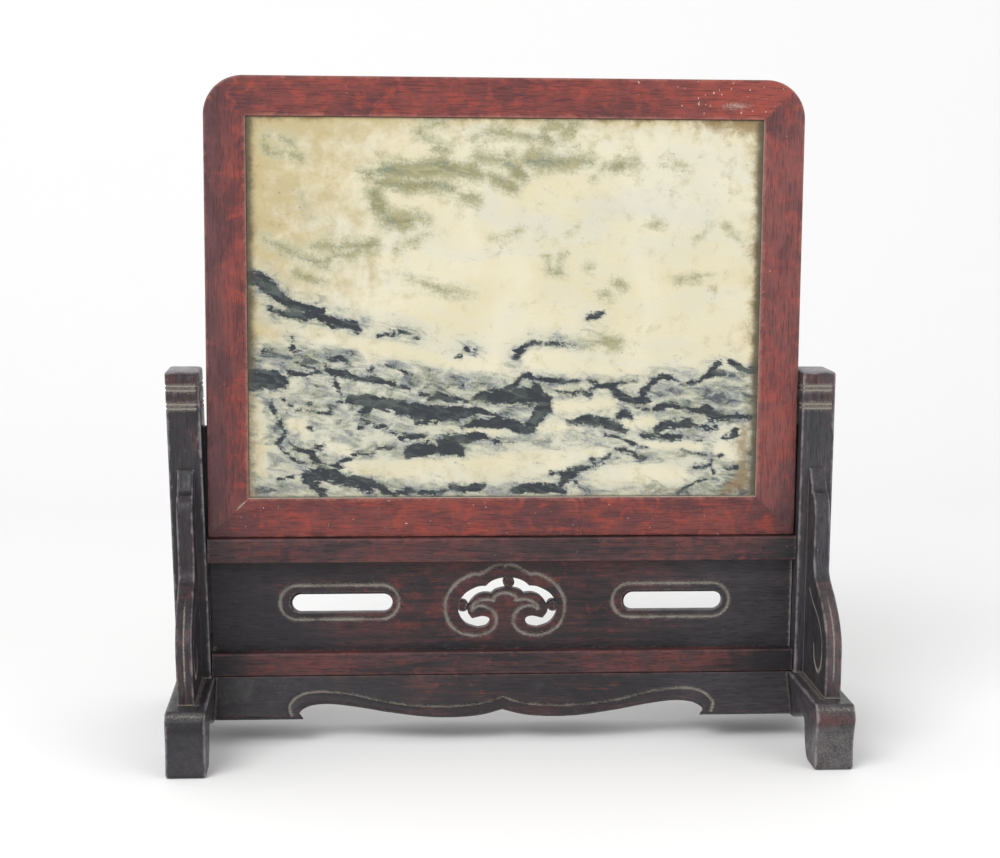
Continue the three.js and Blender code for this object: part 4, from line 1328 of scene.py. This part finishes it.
def post(name, placement):
    side = side_of(placement)
    half = np.array([post_width / 2, post_depth / 2])
    corners = [half * sides for sides in ((-1, -1), (1, -1), (1, 1), (-1, 1))]
    section = rounded_section(corners, [post_corner] * 4, 1.8)
    inward = -np.sign(section) * (np.abs(section) > half - 0.8)
    heights = list(np.arange(foot_height + gap, 226, 3.0)) + [235.8, 246.5, 249, 250.6]
    for line in incised_lines:
        heights += [line + offset for offset in (-0.85, -0.6, -0.35, 0, 0.35, 0.6, 0.85)]
    rings = []
    for height in sorted(heights):
        to_line = min(abs(height - line) for line in incised_lines)
        cut = 0.75 * max(0.0, 1 - (to_line / 0.8) ** 2) * line_share(*section.T, 0.8)
        hollow = 0.08 + 0.07 * noise(ring_at(section, height), 24, 31, 3)
        rings.append(ring_at(section + inward * (cut + hollow)[:, None], height))
    for inset, drop in post_crown:
        rings.append(ring_at(section * (half - inset) / half, post_top - drop))
    rings = np.array(rings)
    rings[:, :, 0] += post_middle(placement, rings[:, :, 2])
    piece = loft(name, rings)
    low, high = upper_rail_top + gap, tongue_top
    face = inner_face(placement, (low + high) / 2)
    ends = sorted([face - side * tongue_reach, face + side * 3])
    combine(
        piece, "UNION",
        (ends[0], -tongue_thickness / 2, low),
        (ends[1], tongue_thickness / 2, high),
    )

    where = positions(piece)
    y, z = where[:, 1], where[:, 2]
    x = where[:, 0] - post_middle(placement, z)
    corner = np.hypot(half[0] - np.abs(x), half[1] - np.abs(y))
    top = np.clip((z - 250.5) / 2.5, 0, 1)
    upper = blend(222, 232, z) * (1 - top)
    to_line = np.min([np.abs(z - line) for line in incised_lines], axis=0)
    dust = 1.1 * fade(to_line, 0.95) * line_share(x, y, 2)
    # Painted sheen: higher on the top face and on the right post, lower on the upper band; the top face also
    # takes the worn colour, both wear and a painted highlight
    paint(
        piece,
        wear=np.maximum(0.7 * fade(corner, 2), top),
        dust=np.maximum(dust, 0.8 * fade(z - foot_height, 1.6)),
        tone=0.25 + 0.2 * noise(where, 40, 33, 2) + 0.35 * upper,
        scuff=0.2,
        sheen=0.35 + 0.2 * side + 0.5 * top - 0.2 * upper,
    )
    belongs(piece, name, stand_wood_z)


# Cross rails with a groove for the pierced panel

def cross_rail(name, low, high, groove_up, seed):
    start = inner_face(left_post, low) + gap
    end = inner_face(right_post, low) - gap
    half = rail_depth / 2
    groove = panel_thickness / 2 + gap
    depth = panel_tongue + gap
    if groove_up:
        corners = [
            (-half, low), (half, low), (half, high), (groove, high),
            (groove, high - depth), (-groove, high - depth), (-groove, high), (-half, high),
        ]
        radii = [1.2, 1.2, 1.6, 0, 0, 0, 0, 1.6]
    else:
        corners = [
            (-half, low), (-groove, low), (-groove, low + depth), (groove, low + depth),
            (groove, low), (half, low), (half, high), (-half, high),
        ]
        radii = [1.2, 0, 0, 0, 0, 1.2, 1.6, 1.6]
    section = rounded_section(corners, radii, 1.6)
    inward = np.sign([0, (low + high) / 2] - section) * (np.abs(section[:, :1]) > half - 2)
    rings = []
    for length in np.linspace(start, end, 150):
        here = np.full(len(section), length)
        hollow = 0.09 + 0.07 * noise(np.column_stack([here, section]), 32, seed, 3)
        rings.append(np.column_stack([here, section + inward * hollow[:, None]]))
    piece = loft(name, np.array(rings))

    where = positions(piece)
    x, y, z = where.T
    corner = np.hypot(half - np.abs(y), np.minimum(z - low, high - z))
    ends = np.minimum(x - start, end - x)
    paint(
        piece,
        wear=0.8 * fade(corner, 1.8),
        dust=0.45 * fade(ends, 1.2),
        tone=0.6 + 0.25 * noise(where, 55, seed + 3, 2) - 0.35 * fade(ends, 25),
        scuff=0.25 + 0.4 * fade(x - 60, 60) * (not groove_up),
        # An even painted sheen
        sheen=0.3,
    )
    belongs(piece, name, stand_wood_x)


# Pierced panel

def cloud_border():
    lobe = [(-17.2, 20.6), (-23.5, 20.3), (-33.3, 14.6), (-40, 5), (-41, -5), (-37.4, -14.5), (-30.4, -20.2)]
    curl = [
        (-30.4, -20.2), (-21.5, -22), (-12.8, -20.4), (-7, -15.8), (-6.2, -8.6), (-10.1, -3.4), (-16, -1.1),
    ]
    sections = [
        [(0, 25.2), (-1.4, 26.8), (-7.5, 26), (-13, 22.9), (-17.2, 20.6)],
        lobe,
        curl,
        [(-16, -1.1), (-19.6, -1.6), (-22.9, -4)],
        [(-22.9, -4), (-21.6, -0.2), (-17.4, 2.4), (-12.7, 3.1), (-7.6, 2.4)],
        [(-7.6, 2.4), (-7.4, 4.8), (-4.4, 6.9), (0, 7.8)],
    ]
    left = [smooth(section, 0.7) for section in sections]
    whole = left + [mirrored(section) for section in left]
    return [moved(section, cloud_centre, cloud_height) for section in whole]


def cloud_piercing():
    lobe = [
        (-14.8, 12.3), (-20.4, 11.8), (-29, 7), (-33.6, -0.6), (-33.2, -8), (-28.4, -14.4), (-20.4, -17.2),
    ]
    sections = [
        [(0, 18.4), (-5.4, 17.7), (-10.8, 15.6), (-14.8, 12.3)],
        lobe,
        [(-20.4, -17.2), (-14.8, -16), (-12.2, -12.6), (-13.4, -9.8), (-17.5, -8.8), (-24.4, -10.4)],
        [(-24.4, -10.4), (-27.4, -6), (-26.8, -0.8), (-22.4, 4.8), (-17, 7.2), (-11.2, 7)],
        [(-11.2, 7), (-7.6, 9.6), (0, 11.3)],
    ]
    half = joined([smooth(section, 0.7) for section in sections])
    whole = joined([half, mirrored(half)])
    return moved(whole, cloud_centre + piercing_shift, cloud_height)


def carved_line(away, half_width, depth, dish, dish_width):
    """Depth of a carved line in the shallow dish that its edges are worn to."""
    share = np.clip(away / half_width, 0, 1)
    return depth * np.cos(share * math.pi / 2) ** 2 + dish * fade(away, dish_width)


def line_guides(lines, offsets, is_closed=False):
    return [beside(line, offset, is_closed) for line in lines for offset in offsets]


def pierced_panel():
    low = lower_rail_top - panel_tongue
    high = upper_rail_bottom + panel_tongue
    outline = closed([
        (inner_face(left_post, low) + gap, low), (inner_face(right_post, low) - gap, low),
        (inner_face(right_post, high) - gap, high), (inner_face(left_post, high) + gap, high),
    ], 2.0)
    slots = [
        stadium(centre + piercing_shift, slot_centre_height, slot_width, slot_height)
        for centre in slot_border_centres
    ]
    piercing = cloud_piercing()
    holes = slots + [piercing]
    centres = [(cloud_centre + piercing_shift + x, cloud_height + z) for x, z in roundels]
    discs = [arc(centre, roundel_radius, 0, 2 * math.pi, 0.8)[:-1] for centre in centres]
    lines = cloud_border()
    borders = [
        stadium(centre, slot_border_centre_height, slot_border_width, slot_border_height)
        for centre in slot_border_centres
    ]
    carved = runs_of(lines + [np.vstack([loop, loop[:1]]) for loop in borders])
    bevels = [moved(beside(loop, -bevel_reach), bevel_slide, bevel_reach) for loop in slots]
    bevels.append(moved(beside(piercing, bevel_reach), bevel_slide, bevel_reach))

    def to_roundel(points):
        return np.min([np.hypot(*(points - centre).T) for centre in centres], axis=0)

    def solid_at(points):
        pierced = inside(points, piercing) & (to_roundel(points) >= roundel_radius)
        for slot in slots:
            pierced |= inside(points, slot)
        return inside(points, outline) & ~pierced

    def clear(points):
        return (distance(points, *carved, 3.0) > 2.1) & (to_roundel(points) > 4.5)

    guides = line_guides(lines, wide_line_points) + line_guides(borders, wide_line_points, True)
    for loop in bevels:
        guides += [loop, beside(loop, 0.35), beside(loop, -0.35)]
    for centre in centres:
        guides += [arc(centre, radius, 0, 2 * math.pi, 0.6)[:-1] for radius in (0.5, 1.0, 1.7, 2.3, 2.9, 3.3)]
    rims = [(outline, 0.5)] + [(loop, 0.45) for loop in holes + discs]
    board = Board("carved_panel", rims, solid_at, 1.5, guides, clear, seed=7)

    flat = board.flat
    slope = np.zeros(len(flat))
    for loop, hole in zip(bevels, holes):
        within = inside(flat, loop)
        to_line = distance(flat[within], *sides_of(loop), 6.0)
        to_hole = distance(flat[within], *sides_of(hole), 6.0)
        share = to_line / np.maximum(to_line + to_hole, 1e-6)
        slope[within] = np.maximum(slope[within], 0.15 + 1.9 * share)
    radius = to_roundel(flat)
    rings = 0.9 * fade(radius - roundel_ring, 0.45) + 0.5 * fade(radius, 0.6)
    slope = np.where(radius < 4.4, np.minimum(slope, 0.1) + rings, slope)
    front = np.maximum(carved_line(distance(flat, *carved), 1.3, 1.1, 0.35, 1.8), slope)
    front += rounding(board.edge, 0.45) + 0.12 + 0.1 * noise(flat, 26, 41) + 0.03 * noise(flat, 4, 43, 2)
    back = rounding(board.edge, 0.8) + 0.1 + 0.08 * noise(flat, 26, 47)
    piece = board.build(panel_thickness, front, back, frontal_place(-panel_thickness / 2), wall_steps=5)

    u, v = board.u, board.v
    spots = np.column_stack([u, v])
    face = board.depth < 3
    away = distance(spots, *carved)
    dust = (0.82 + 0.25 * noise(spots, 7, 53, 2)) * fade(away, 1.6)
    # Painted highlights: a pale line along each hole's bevel and pale walls inside the holes, carried in the
    # dust layer beside the dust of the carved lines
    for loop in bevels:
        dust = np.maximum(dust, 0.5 * fade(distance(spots, *sides_of(loop), 3.0), 0.5))
    highlighted_hole_walls = (board.depth > 0.8) & (distance(spots, board.rim_starts, board.rim_ends, 3.0) < 0.3)
    dust = np.where(highlighted_hole_walls, 0.35, dust * face)
    dust = np.maximum(dust, 0.6 * fade(to_roundel(spots) - roundel_ring, 0.5) * face)
    under_rails = np.maximum(np.minimum(upper_rail_bottom - v, v - lower_rail_top), 0)
    corner = np.hypot(u - u.min() - 2, v - lower_rail_top)
    lodged = [dust, 0.4 * fade(under_rails, 0.9), 0.9 * fade(u - u.max(), 2.0), 0.6 * fade(corner, 5)]
    tone = 0.5 - 0.45 * blend(70, 185, np.abs(u)) - 0.2 * blend(80, 60, v)
    paint(
        piece,
        wear=0.5 * fade(away - 2.2, 0.9) * face,
        dust=np.max(lodged, axis=0),
        tone=tone + 0.12 * noise(spots, 40, 49, 2),
        scuff=0.15,
        # Painted sheen, lighter toward both ends and most toward the right end
        sheen=0.15 + 0.15 * blend(-40, -180, u) + 0.5 * blend(60, 180, u),
    )
    belongs(piece, "pierced_panel", stand_wood_x)


# Aprons

def apron_edge():
    flat = -28.9
    swell = [(0, -23.4), (13, -26.9), (26, -28.4), (40, -28.7), (56, -27.7), (80, -24.2)]
    hook = [
        (80, -24.2), (100, -20.5), (117, -18.4), (129, -19.2), (136, -22.4), (137.6, -25.4), (135.2, flat),
    ]
    return joined([smooth(swell, 1.2), smooth(hook, 1.2)]), flat


def apron_lines():
    run = [(0, -15.6), (8, -18.8), (20, -21.4), (35, -22.4), (50, -22.2), (66, -20.8), (82, -18.2)]
    hook = [(82, -18.2), (104, -12.8), (124, -11), (136.4, -13.2), (144, -20.4), (142.6, -27.6)]
    left = [smooth(run, 0.8), smooth(hook, 0.8)]
    return [moved(line, apron_centre, 0) for line in left + [mirrored(line) for line in left]]


def apron(name, forward, seed):
    reach = foot_spacing / 2 - foot_width / 2 - gap
    half, flat_height = apron_edge()
    hook_end = half[-1][0]
    outline = joined([
        straight((-reach, 0), (-reach, flat_height), 1.6),
        straight((-reach, flat_height), (apron_centre - hook_end, flat_height), 1.6),
        moved(mirrored(half), apron_centre, 0),
        moved(half, apron_centre, 0),
        straight((apron_centre + hook_end, flat_height), (reach, flat_height), 1.6),
        straight((reach, flat_height), (reach, 0), 1.6),
        straight((reach, 0), (-reach, 0), 1.6),
    ])
    lines = apron_lines()
    carved = runs_of(lines)
    board = Board(
        name, [(outline, 1.1)], lambda points: inside(points, outline), 2.2,
        line_guides(lines, wide_line_points), lambda points: distance(points, *carved, 3.0) > 2.4, seed=seed,
    )
    relief = carved_line(distance(board.flat, *carved), 1.1, 0.9, 0.25, 1.6)
    below_top = 1 - blend(-2.0, -0.5, board.flat[:, 1])
    uneven = 0.1 + 0.09 * noise(board.flat, 28, seed) + 0.03 * noise(board.flat, 5, seed + 4, 2)
    front = relief + (rounding(board.edge, 1.1) + uneven) * below_top
    back = rounding(board.edge, 0.6) * below_top
    sine, cosine = math.sin(apron_slope), math.cos(apron_slope)

    def place(u, v, depth):
        # The top end is cut level, so a point there slides along the slope
        slid = np.where(v > -4, v - depth * math.tan(apron_slope) * np.clip(1 + v / 4, 0, 1), v)
        y = slid * sine + depth * cosine - apron_top_forward
        z = slid * cosine - depth * sine + foot_height
        points = np.column_stack([u, y, z])
        return points if forward else points * [-1, -1, 1]

    piece = board.build(apron_thickness, front, back, place)
    u, out = board.u, np.abs(board.u)
    spots = np.column_stack([u, board.v])
    lodged = 0.58 + 0.3 * blend(90, 140, out) + 0.2 * noise(spots, 8, seed + 6, 2)
    in_line = lodged * fade(distance(spots, *carved), 1.3) * (board.depth < 2.2)
    paint(
        piece,
        wear=0.6 * fade(board.sharp(), 1.5),
        dust=np.maximum(in_line, 0.8 * fade(reach - out, 1.4)),
        tone=0.28 - 0.34 * blend(60, 170, out) + 0.12 * noise(spots, 35, seed + 2, 2),
        scuff=0.1,
        # Painted sheen, growing toward one end: the right end of the front apron
        sheen=0.05 + 0.75 * blend(60, 180, u),
    )
    belongs(piece, name, stand_wood_x)


# Spandrels

def spandrel_outline():
    low = foot_height + gap
    sections = [
        [(gap, spandrel_top), (3.4, spandrel_top)],
        [(3.4, spandrel_top), (10.2, 174.4)],
        [(10.2, 174.4), (10.6, 173), (15, 172.4)],
        [(15, 172.4), (19.4, 167), (22.2, 158), (23, 146), (22.6, 130), (26, 119), (35, 112.6)],
        [(35, 112.6), (44, 107.4), (54.5, 99), (62, 90.5), (66.4, 81), (67.6, 68), (spandrel_reach, low)],
        [(spandrel_reach, low), (gap, low)],
        [(gap, low), (gap, spandrel_top)],
    ]
    return moved(joined([smooth(section, 1.0) for section in sections]), post_depth / 2, 0)


def spandrel_lines():
    face = post_depth / 2
    run = [(13, 106.6), (23, 100), (36, 94.6), (46, 88.8), (52.6, 81), (54.4, 70), (52.4, 61.4)]
    hook = [(52.4, 61.4), (46, 57.2), (38.4, 58.6), (33, 64), (30.6, 72)]
    return [moved(smooth(points, 0.8), face, 0) for points in (run, hook)]


def spandrel(name, placement, forward, seed):
    side = side_of(placement)
    thickness = spandrel_thickness
    outline = spandrel_outline()
    lines = spandrel_lines()
    carved = runs_of(lines)
    board = Board(
        name, [(outline, 1.6)], lambda points: inside(points, outline), 2.2,
        line_guides(lines, narrow_line_points), lambda points: distance(points, *carved, 3.0) > 2.2,
        seed=seed,
    )
    foot_of_post = (post_depth / 2 + gap, foot_height + gap)
    far_ends = [(post_depth / 2 + gap, spandrel_top), (post_depth / 2 + spandrel_reach, foot_height + gap)]
    joints = np.array([foot_of_post] * 2), np.array(far_ends)
    free_edge = board.edge + 10 * (distance(board.flat, *joints) < board.edge + 1e-6)
    relief = carved_line(distance(board.flat, *carved), 1.0, 0.8, 0.2, 1.4) + rounding(free_edge, 1.6)
    relief += 0.1 + 0.08 * noise(board.flat, 20, seed)

    def wall(spots, level):
        on_front = (spots[:, 0] > post_depth / 2 + 4) & (spots[:, 1] > 46)
        groove = 0.5 * fade(level - thickness / 2, 0.75)
        groove = groove * blend(44, 60, spots[:, 1]) * blend(118, 100, spots[:, 1])
        return np.where(on_front, groove + 0.1 + 0.1 * noise(spots, 9, seed + 9), 0)

    place = sideways_place(placement["centre"], thickness, not forward, side * placement["lean"])
    piece = board.build(thickness, relief, relief, place, wall_steps=14, wall=wall)
    u, v, depth = board.u, board.v, board.depth
    spots = np.column_stack([u, v])
    on_side = np.minimum(depth, thickness - depth) < 1.6
    on_wall = distance(spots, board.rim_starts, board.rim_ends, 3.0) < 1.2
    line_width = 0.95 + 0.6 * blend(76, 62, v)
    in_line = 1.05 * fade(distance(spots, *carved), line_width) * on_side
    lower = blend(50, 62, v) * blend(112, 100, v) * (u > post_depth / 2 + 30)
    front_line = 0.85 * fade(depth - thickness / 2, 0.7) * on_wall * lower
    at_joints = 0.9 * fade(distance(spots, *joints, 4.0), 1.1)
    worn_front = (0.28 + 0.07 * side) * on_wall * (v < 115)
    paint(
        piece,
        wear=0.7 * fade(board.sharp(), 1.8),
        dust=np.max([in_line, front_line, at_joints], axis=0),
        tone=0.3 + worn_front + 0.15 * noise(spots, 25, seed + 2, 2),
        scuff=0.25,
        # Painted sheen, stronger on the right spandrels
        sheen=0.25 + 0.2 * side,
    )
    belongs(piece, name, stand_wood_z)


# Feet

def foot_outline():
    half_length = foot_length / 2
    sections = [
        [(0, 14.2), (22, 15), (40, 19.4), (54, 23.9)],
        [(54, 23.9), (61, 25.4), (64.8, 22.4), (66, 16), (69, 7), (74, 1.4), (80, 0)],
        [(80, 0), (96.6, 0)],
        [(96.6, 0), (98.6, 0.9), (99.2, 3)],
        [(99.2, 3), (98.8, 14), (99.4, 21), (101.4, 27.5), (half_length, 34.4)],
        [(half_length, 34.4), (101.6, 39), (99.4, 41), (98.6, 43.2), (96.6, foot_height)],
        [(96.6, foot_height), (0, foot_height)],
    ]
    front = joined([smooth(section, 1.3) for section in sections])
    return joined([front, mirrored(front)])


def foot(name, side, seed):
    outline = foot_outline()
    board = Board(name, [(outline, 1.8)], lambda points: inside(points, outline), 2.6, seed=seed)
    relief = rounding(board.edge, 1.8) + 0.1 + 0.09 * noise(board.flat, 24, seed)

    def wall(spots, level):
        raised = (spots[:, 1] > 1.0) & (spots[:, 1] < foot_height - 0.6)
        return np.where(raised, 0.1 + 0.09 * noise(np.column_stack([spots, level]), 16, seed + 6), 0)

    place = sideways_place(side * foot_spacing / 2, foot_width)
    piece = board.build(foot_width, relief, relief, place, wall_steps=12, wall=wall)
    u, v = np.abs(board.u), board.v
    end = blend(88, 94, u)
    bulge = end * fade(v - 34.5, 4.5)
    powdered = (side > 0) * end
    ledge = 0.5 * fade(v - 41.0, 1.8) * (u > 98)
    on_top = (v > foot_height - 0.8) * blend(90, 84, u) * blend(14, 18, u)
    from_spandrel = np.abs(board.depth - foot_width / 2) - spandrel_thickness / 2
    lodged = 0.75 * on_top * fade(from_spandrel - 0.8, 1.4)
    mottle = 0.15 * noise(np.column_stack([board.u, v, board.depth]), 20, seed + 2, 2)
    paint(
        piece,
        wear=0.8 * fade(board.sharp(), 2.0),
        dust=np.max([ledge, lodged, 0.33 * powdered * blend(32, 24, v)], axis=0),
        tone=0.25 + 0.1 * side + mottle + bulge * (0.4 + 0.35 * side),
        scuff=0.3,
        # Painted sheen, stronger on the right foot and the lower part of its ends, weaker on the bulge
        sheen=0.5 + 0.15 * side + 0.35 * powdered * blend(32, 26, v) - 0.45 * bulge,
    )
    belongs(piece, name, stand_wood_y)


# Camera, light and floor

def set_camera():
    """The view that a least squares fit gave for points of the frame, the feet and the posts."""
    yaw, pitch, roll = 0.069015, 0.134814, 0.007303
    place = (-0.09442, -1.34838, 0.39521)
    focal_length = 2005.27
    picture_width = 1000
    forward = np.array([math.sin(yaw) * math.cos(pitch), math.cos(yaw) * math.cos(pitch), -math.sin(pitch)])
    right = np.array([math.cos(yaw), -math.sin(yaw), 0])
    up = np.cross(right, forward)
    level = math.cos(roll) * right + math.sin(roll) * up
    upright = math.cos(roll) * up - math.sin(roll) * right
    turn = Matrix([list(row) for row in np.column_stack([level, upright, -forward])]).to_4x4()
    camera = bpy.data.cameras.new("camera")
    camera.sensor_width = 36
    camera.lens = focal_length / picture_width * camera.sensor_width
    camera.clip_end = 20
    holder = bpy.data.objects.new("camera", camera)
    holder.matrix_world = Matrix.Translation(place) @ turn
    bpy.context.scene.collection.objects.link(holder)
    bpy.context.scene.camera = holder


def area_light(name, place, target, size, power):
    lamp = bpy.data.lights.new(name, "AREA")
    lamp.shape = "RECTANGLE"
    lamp.size, lamp.size_y = size
    lamp.energy = power
    holder = bpy.data.objects.new(name, lamp)
    holder.location = place
    aim = Vector(target) - Vector(place)
    holder.rotation_euler = aim.to_track_quat("-Z", "Y").to_euler()
    bpy.context.scene.collection.objects.link(holder)


def floor_and_sweep():
    """A floor that turns up into a wall behind the object, as points of (y, z) swept from side to side."""
    start, bend, radius, top, half_width = -3.0, 0.9, 0.8, 3.0, 3.0
    angles = np.linspace(0.1, 1.57, 14)
    curve = [(bend + radius * math.sin(angle), radius - radius * math.cos(angle)) for angle in angles]
    profile = [(start, 0), (bend, 0)] + curve + [(bend + radius, top)]
    vertices = [(side * half_width, y, z) for y, z in profile for side in (-1, 1)]
    faces = [(2 * step, 2 * step + 1, 2 * step + 3, 2 * step + 2) for step in range(len(profile) - 1)]
    mesh = bpy.data.meshes.new("floor")
    mesh.from_pydata(vertices, [], faces)
    mesh.polygons.foreach_set("use_smooth", [True] * len(mesh.polygons))
    floor = bpy.data.objects.new("floor", mesh)
    bpy.context.scene.collection.objects.link(floor)
    look, _, shader = finished("floor")
    shader.inputs["Base Color"].default_value = (0.92, 0.92, 0.92, 1)
    shader.inputs["Roughness"].default_value = 0.9
    shader.inputs["Specular IOR Level"].default_value = 0.1
    mesh.materials.append(look)


def studio():
    floor_and_sweep()
    world = bpy.data.worlds.new("studio")
    world.use_nodes = True
    sky = world.node_tree.nodes["Background"]
    sky.inputs["Color"].default_value = (1, 1, 1, 1)
    sky.inputs["Strength"].default_value = 0.75
    bpy.context.scene.world = world
    area_light("key", (-1.1, -1.6, 1.9), (0, 0, 0.22), (1.4, 1.0), 34)
    area_light("fill", (1.5, -1.5, 1.0), (0, 0, 0.2), (1.4, 1.4), 10)
    bpy.context.scene.view_settings.view_transform = "Standard"


marble_slab()
frame_member("frame_top_rail", 0, 1, (0, 1), frame_wood_x, 51)
frame_member("frame_bottom_rail", 3, 2, (0, -1), frame_wood_x, 61)
frame_member("frame_left_stile", 0, 3, (-1, 0), frame_wood_z, 71)
frame_member("frame_right_stile", 1, 2, (1, 0), frame_wood_z, 81)
post("post_left", left_post)
post("post_right", right_post)
cross_rail("upper_rail", upper_rail_bottom, upper_rail_top, False, 91)
cross_rail("lower_rail", lower_rail_bottom, lower_rail_top, True, 95)
pierced_panel()
apron("apron_front", True, 101)
apron("apron_back", False, 105)
spandrel("spandrel_front_left", left_post, True, 111)
spandrel("spandrel_front_right", right_post, True, 115)
spandrel("spandrel_back_left", left_post, False, 121)
spandrel("spandrel_back_right", right_post, False, 125)
foot("foot_left", -1, 131)
foot("foot_right", 1, 135)
set_camera()
studio()
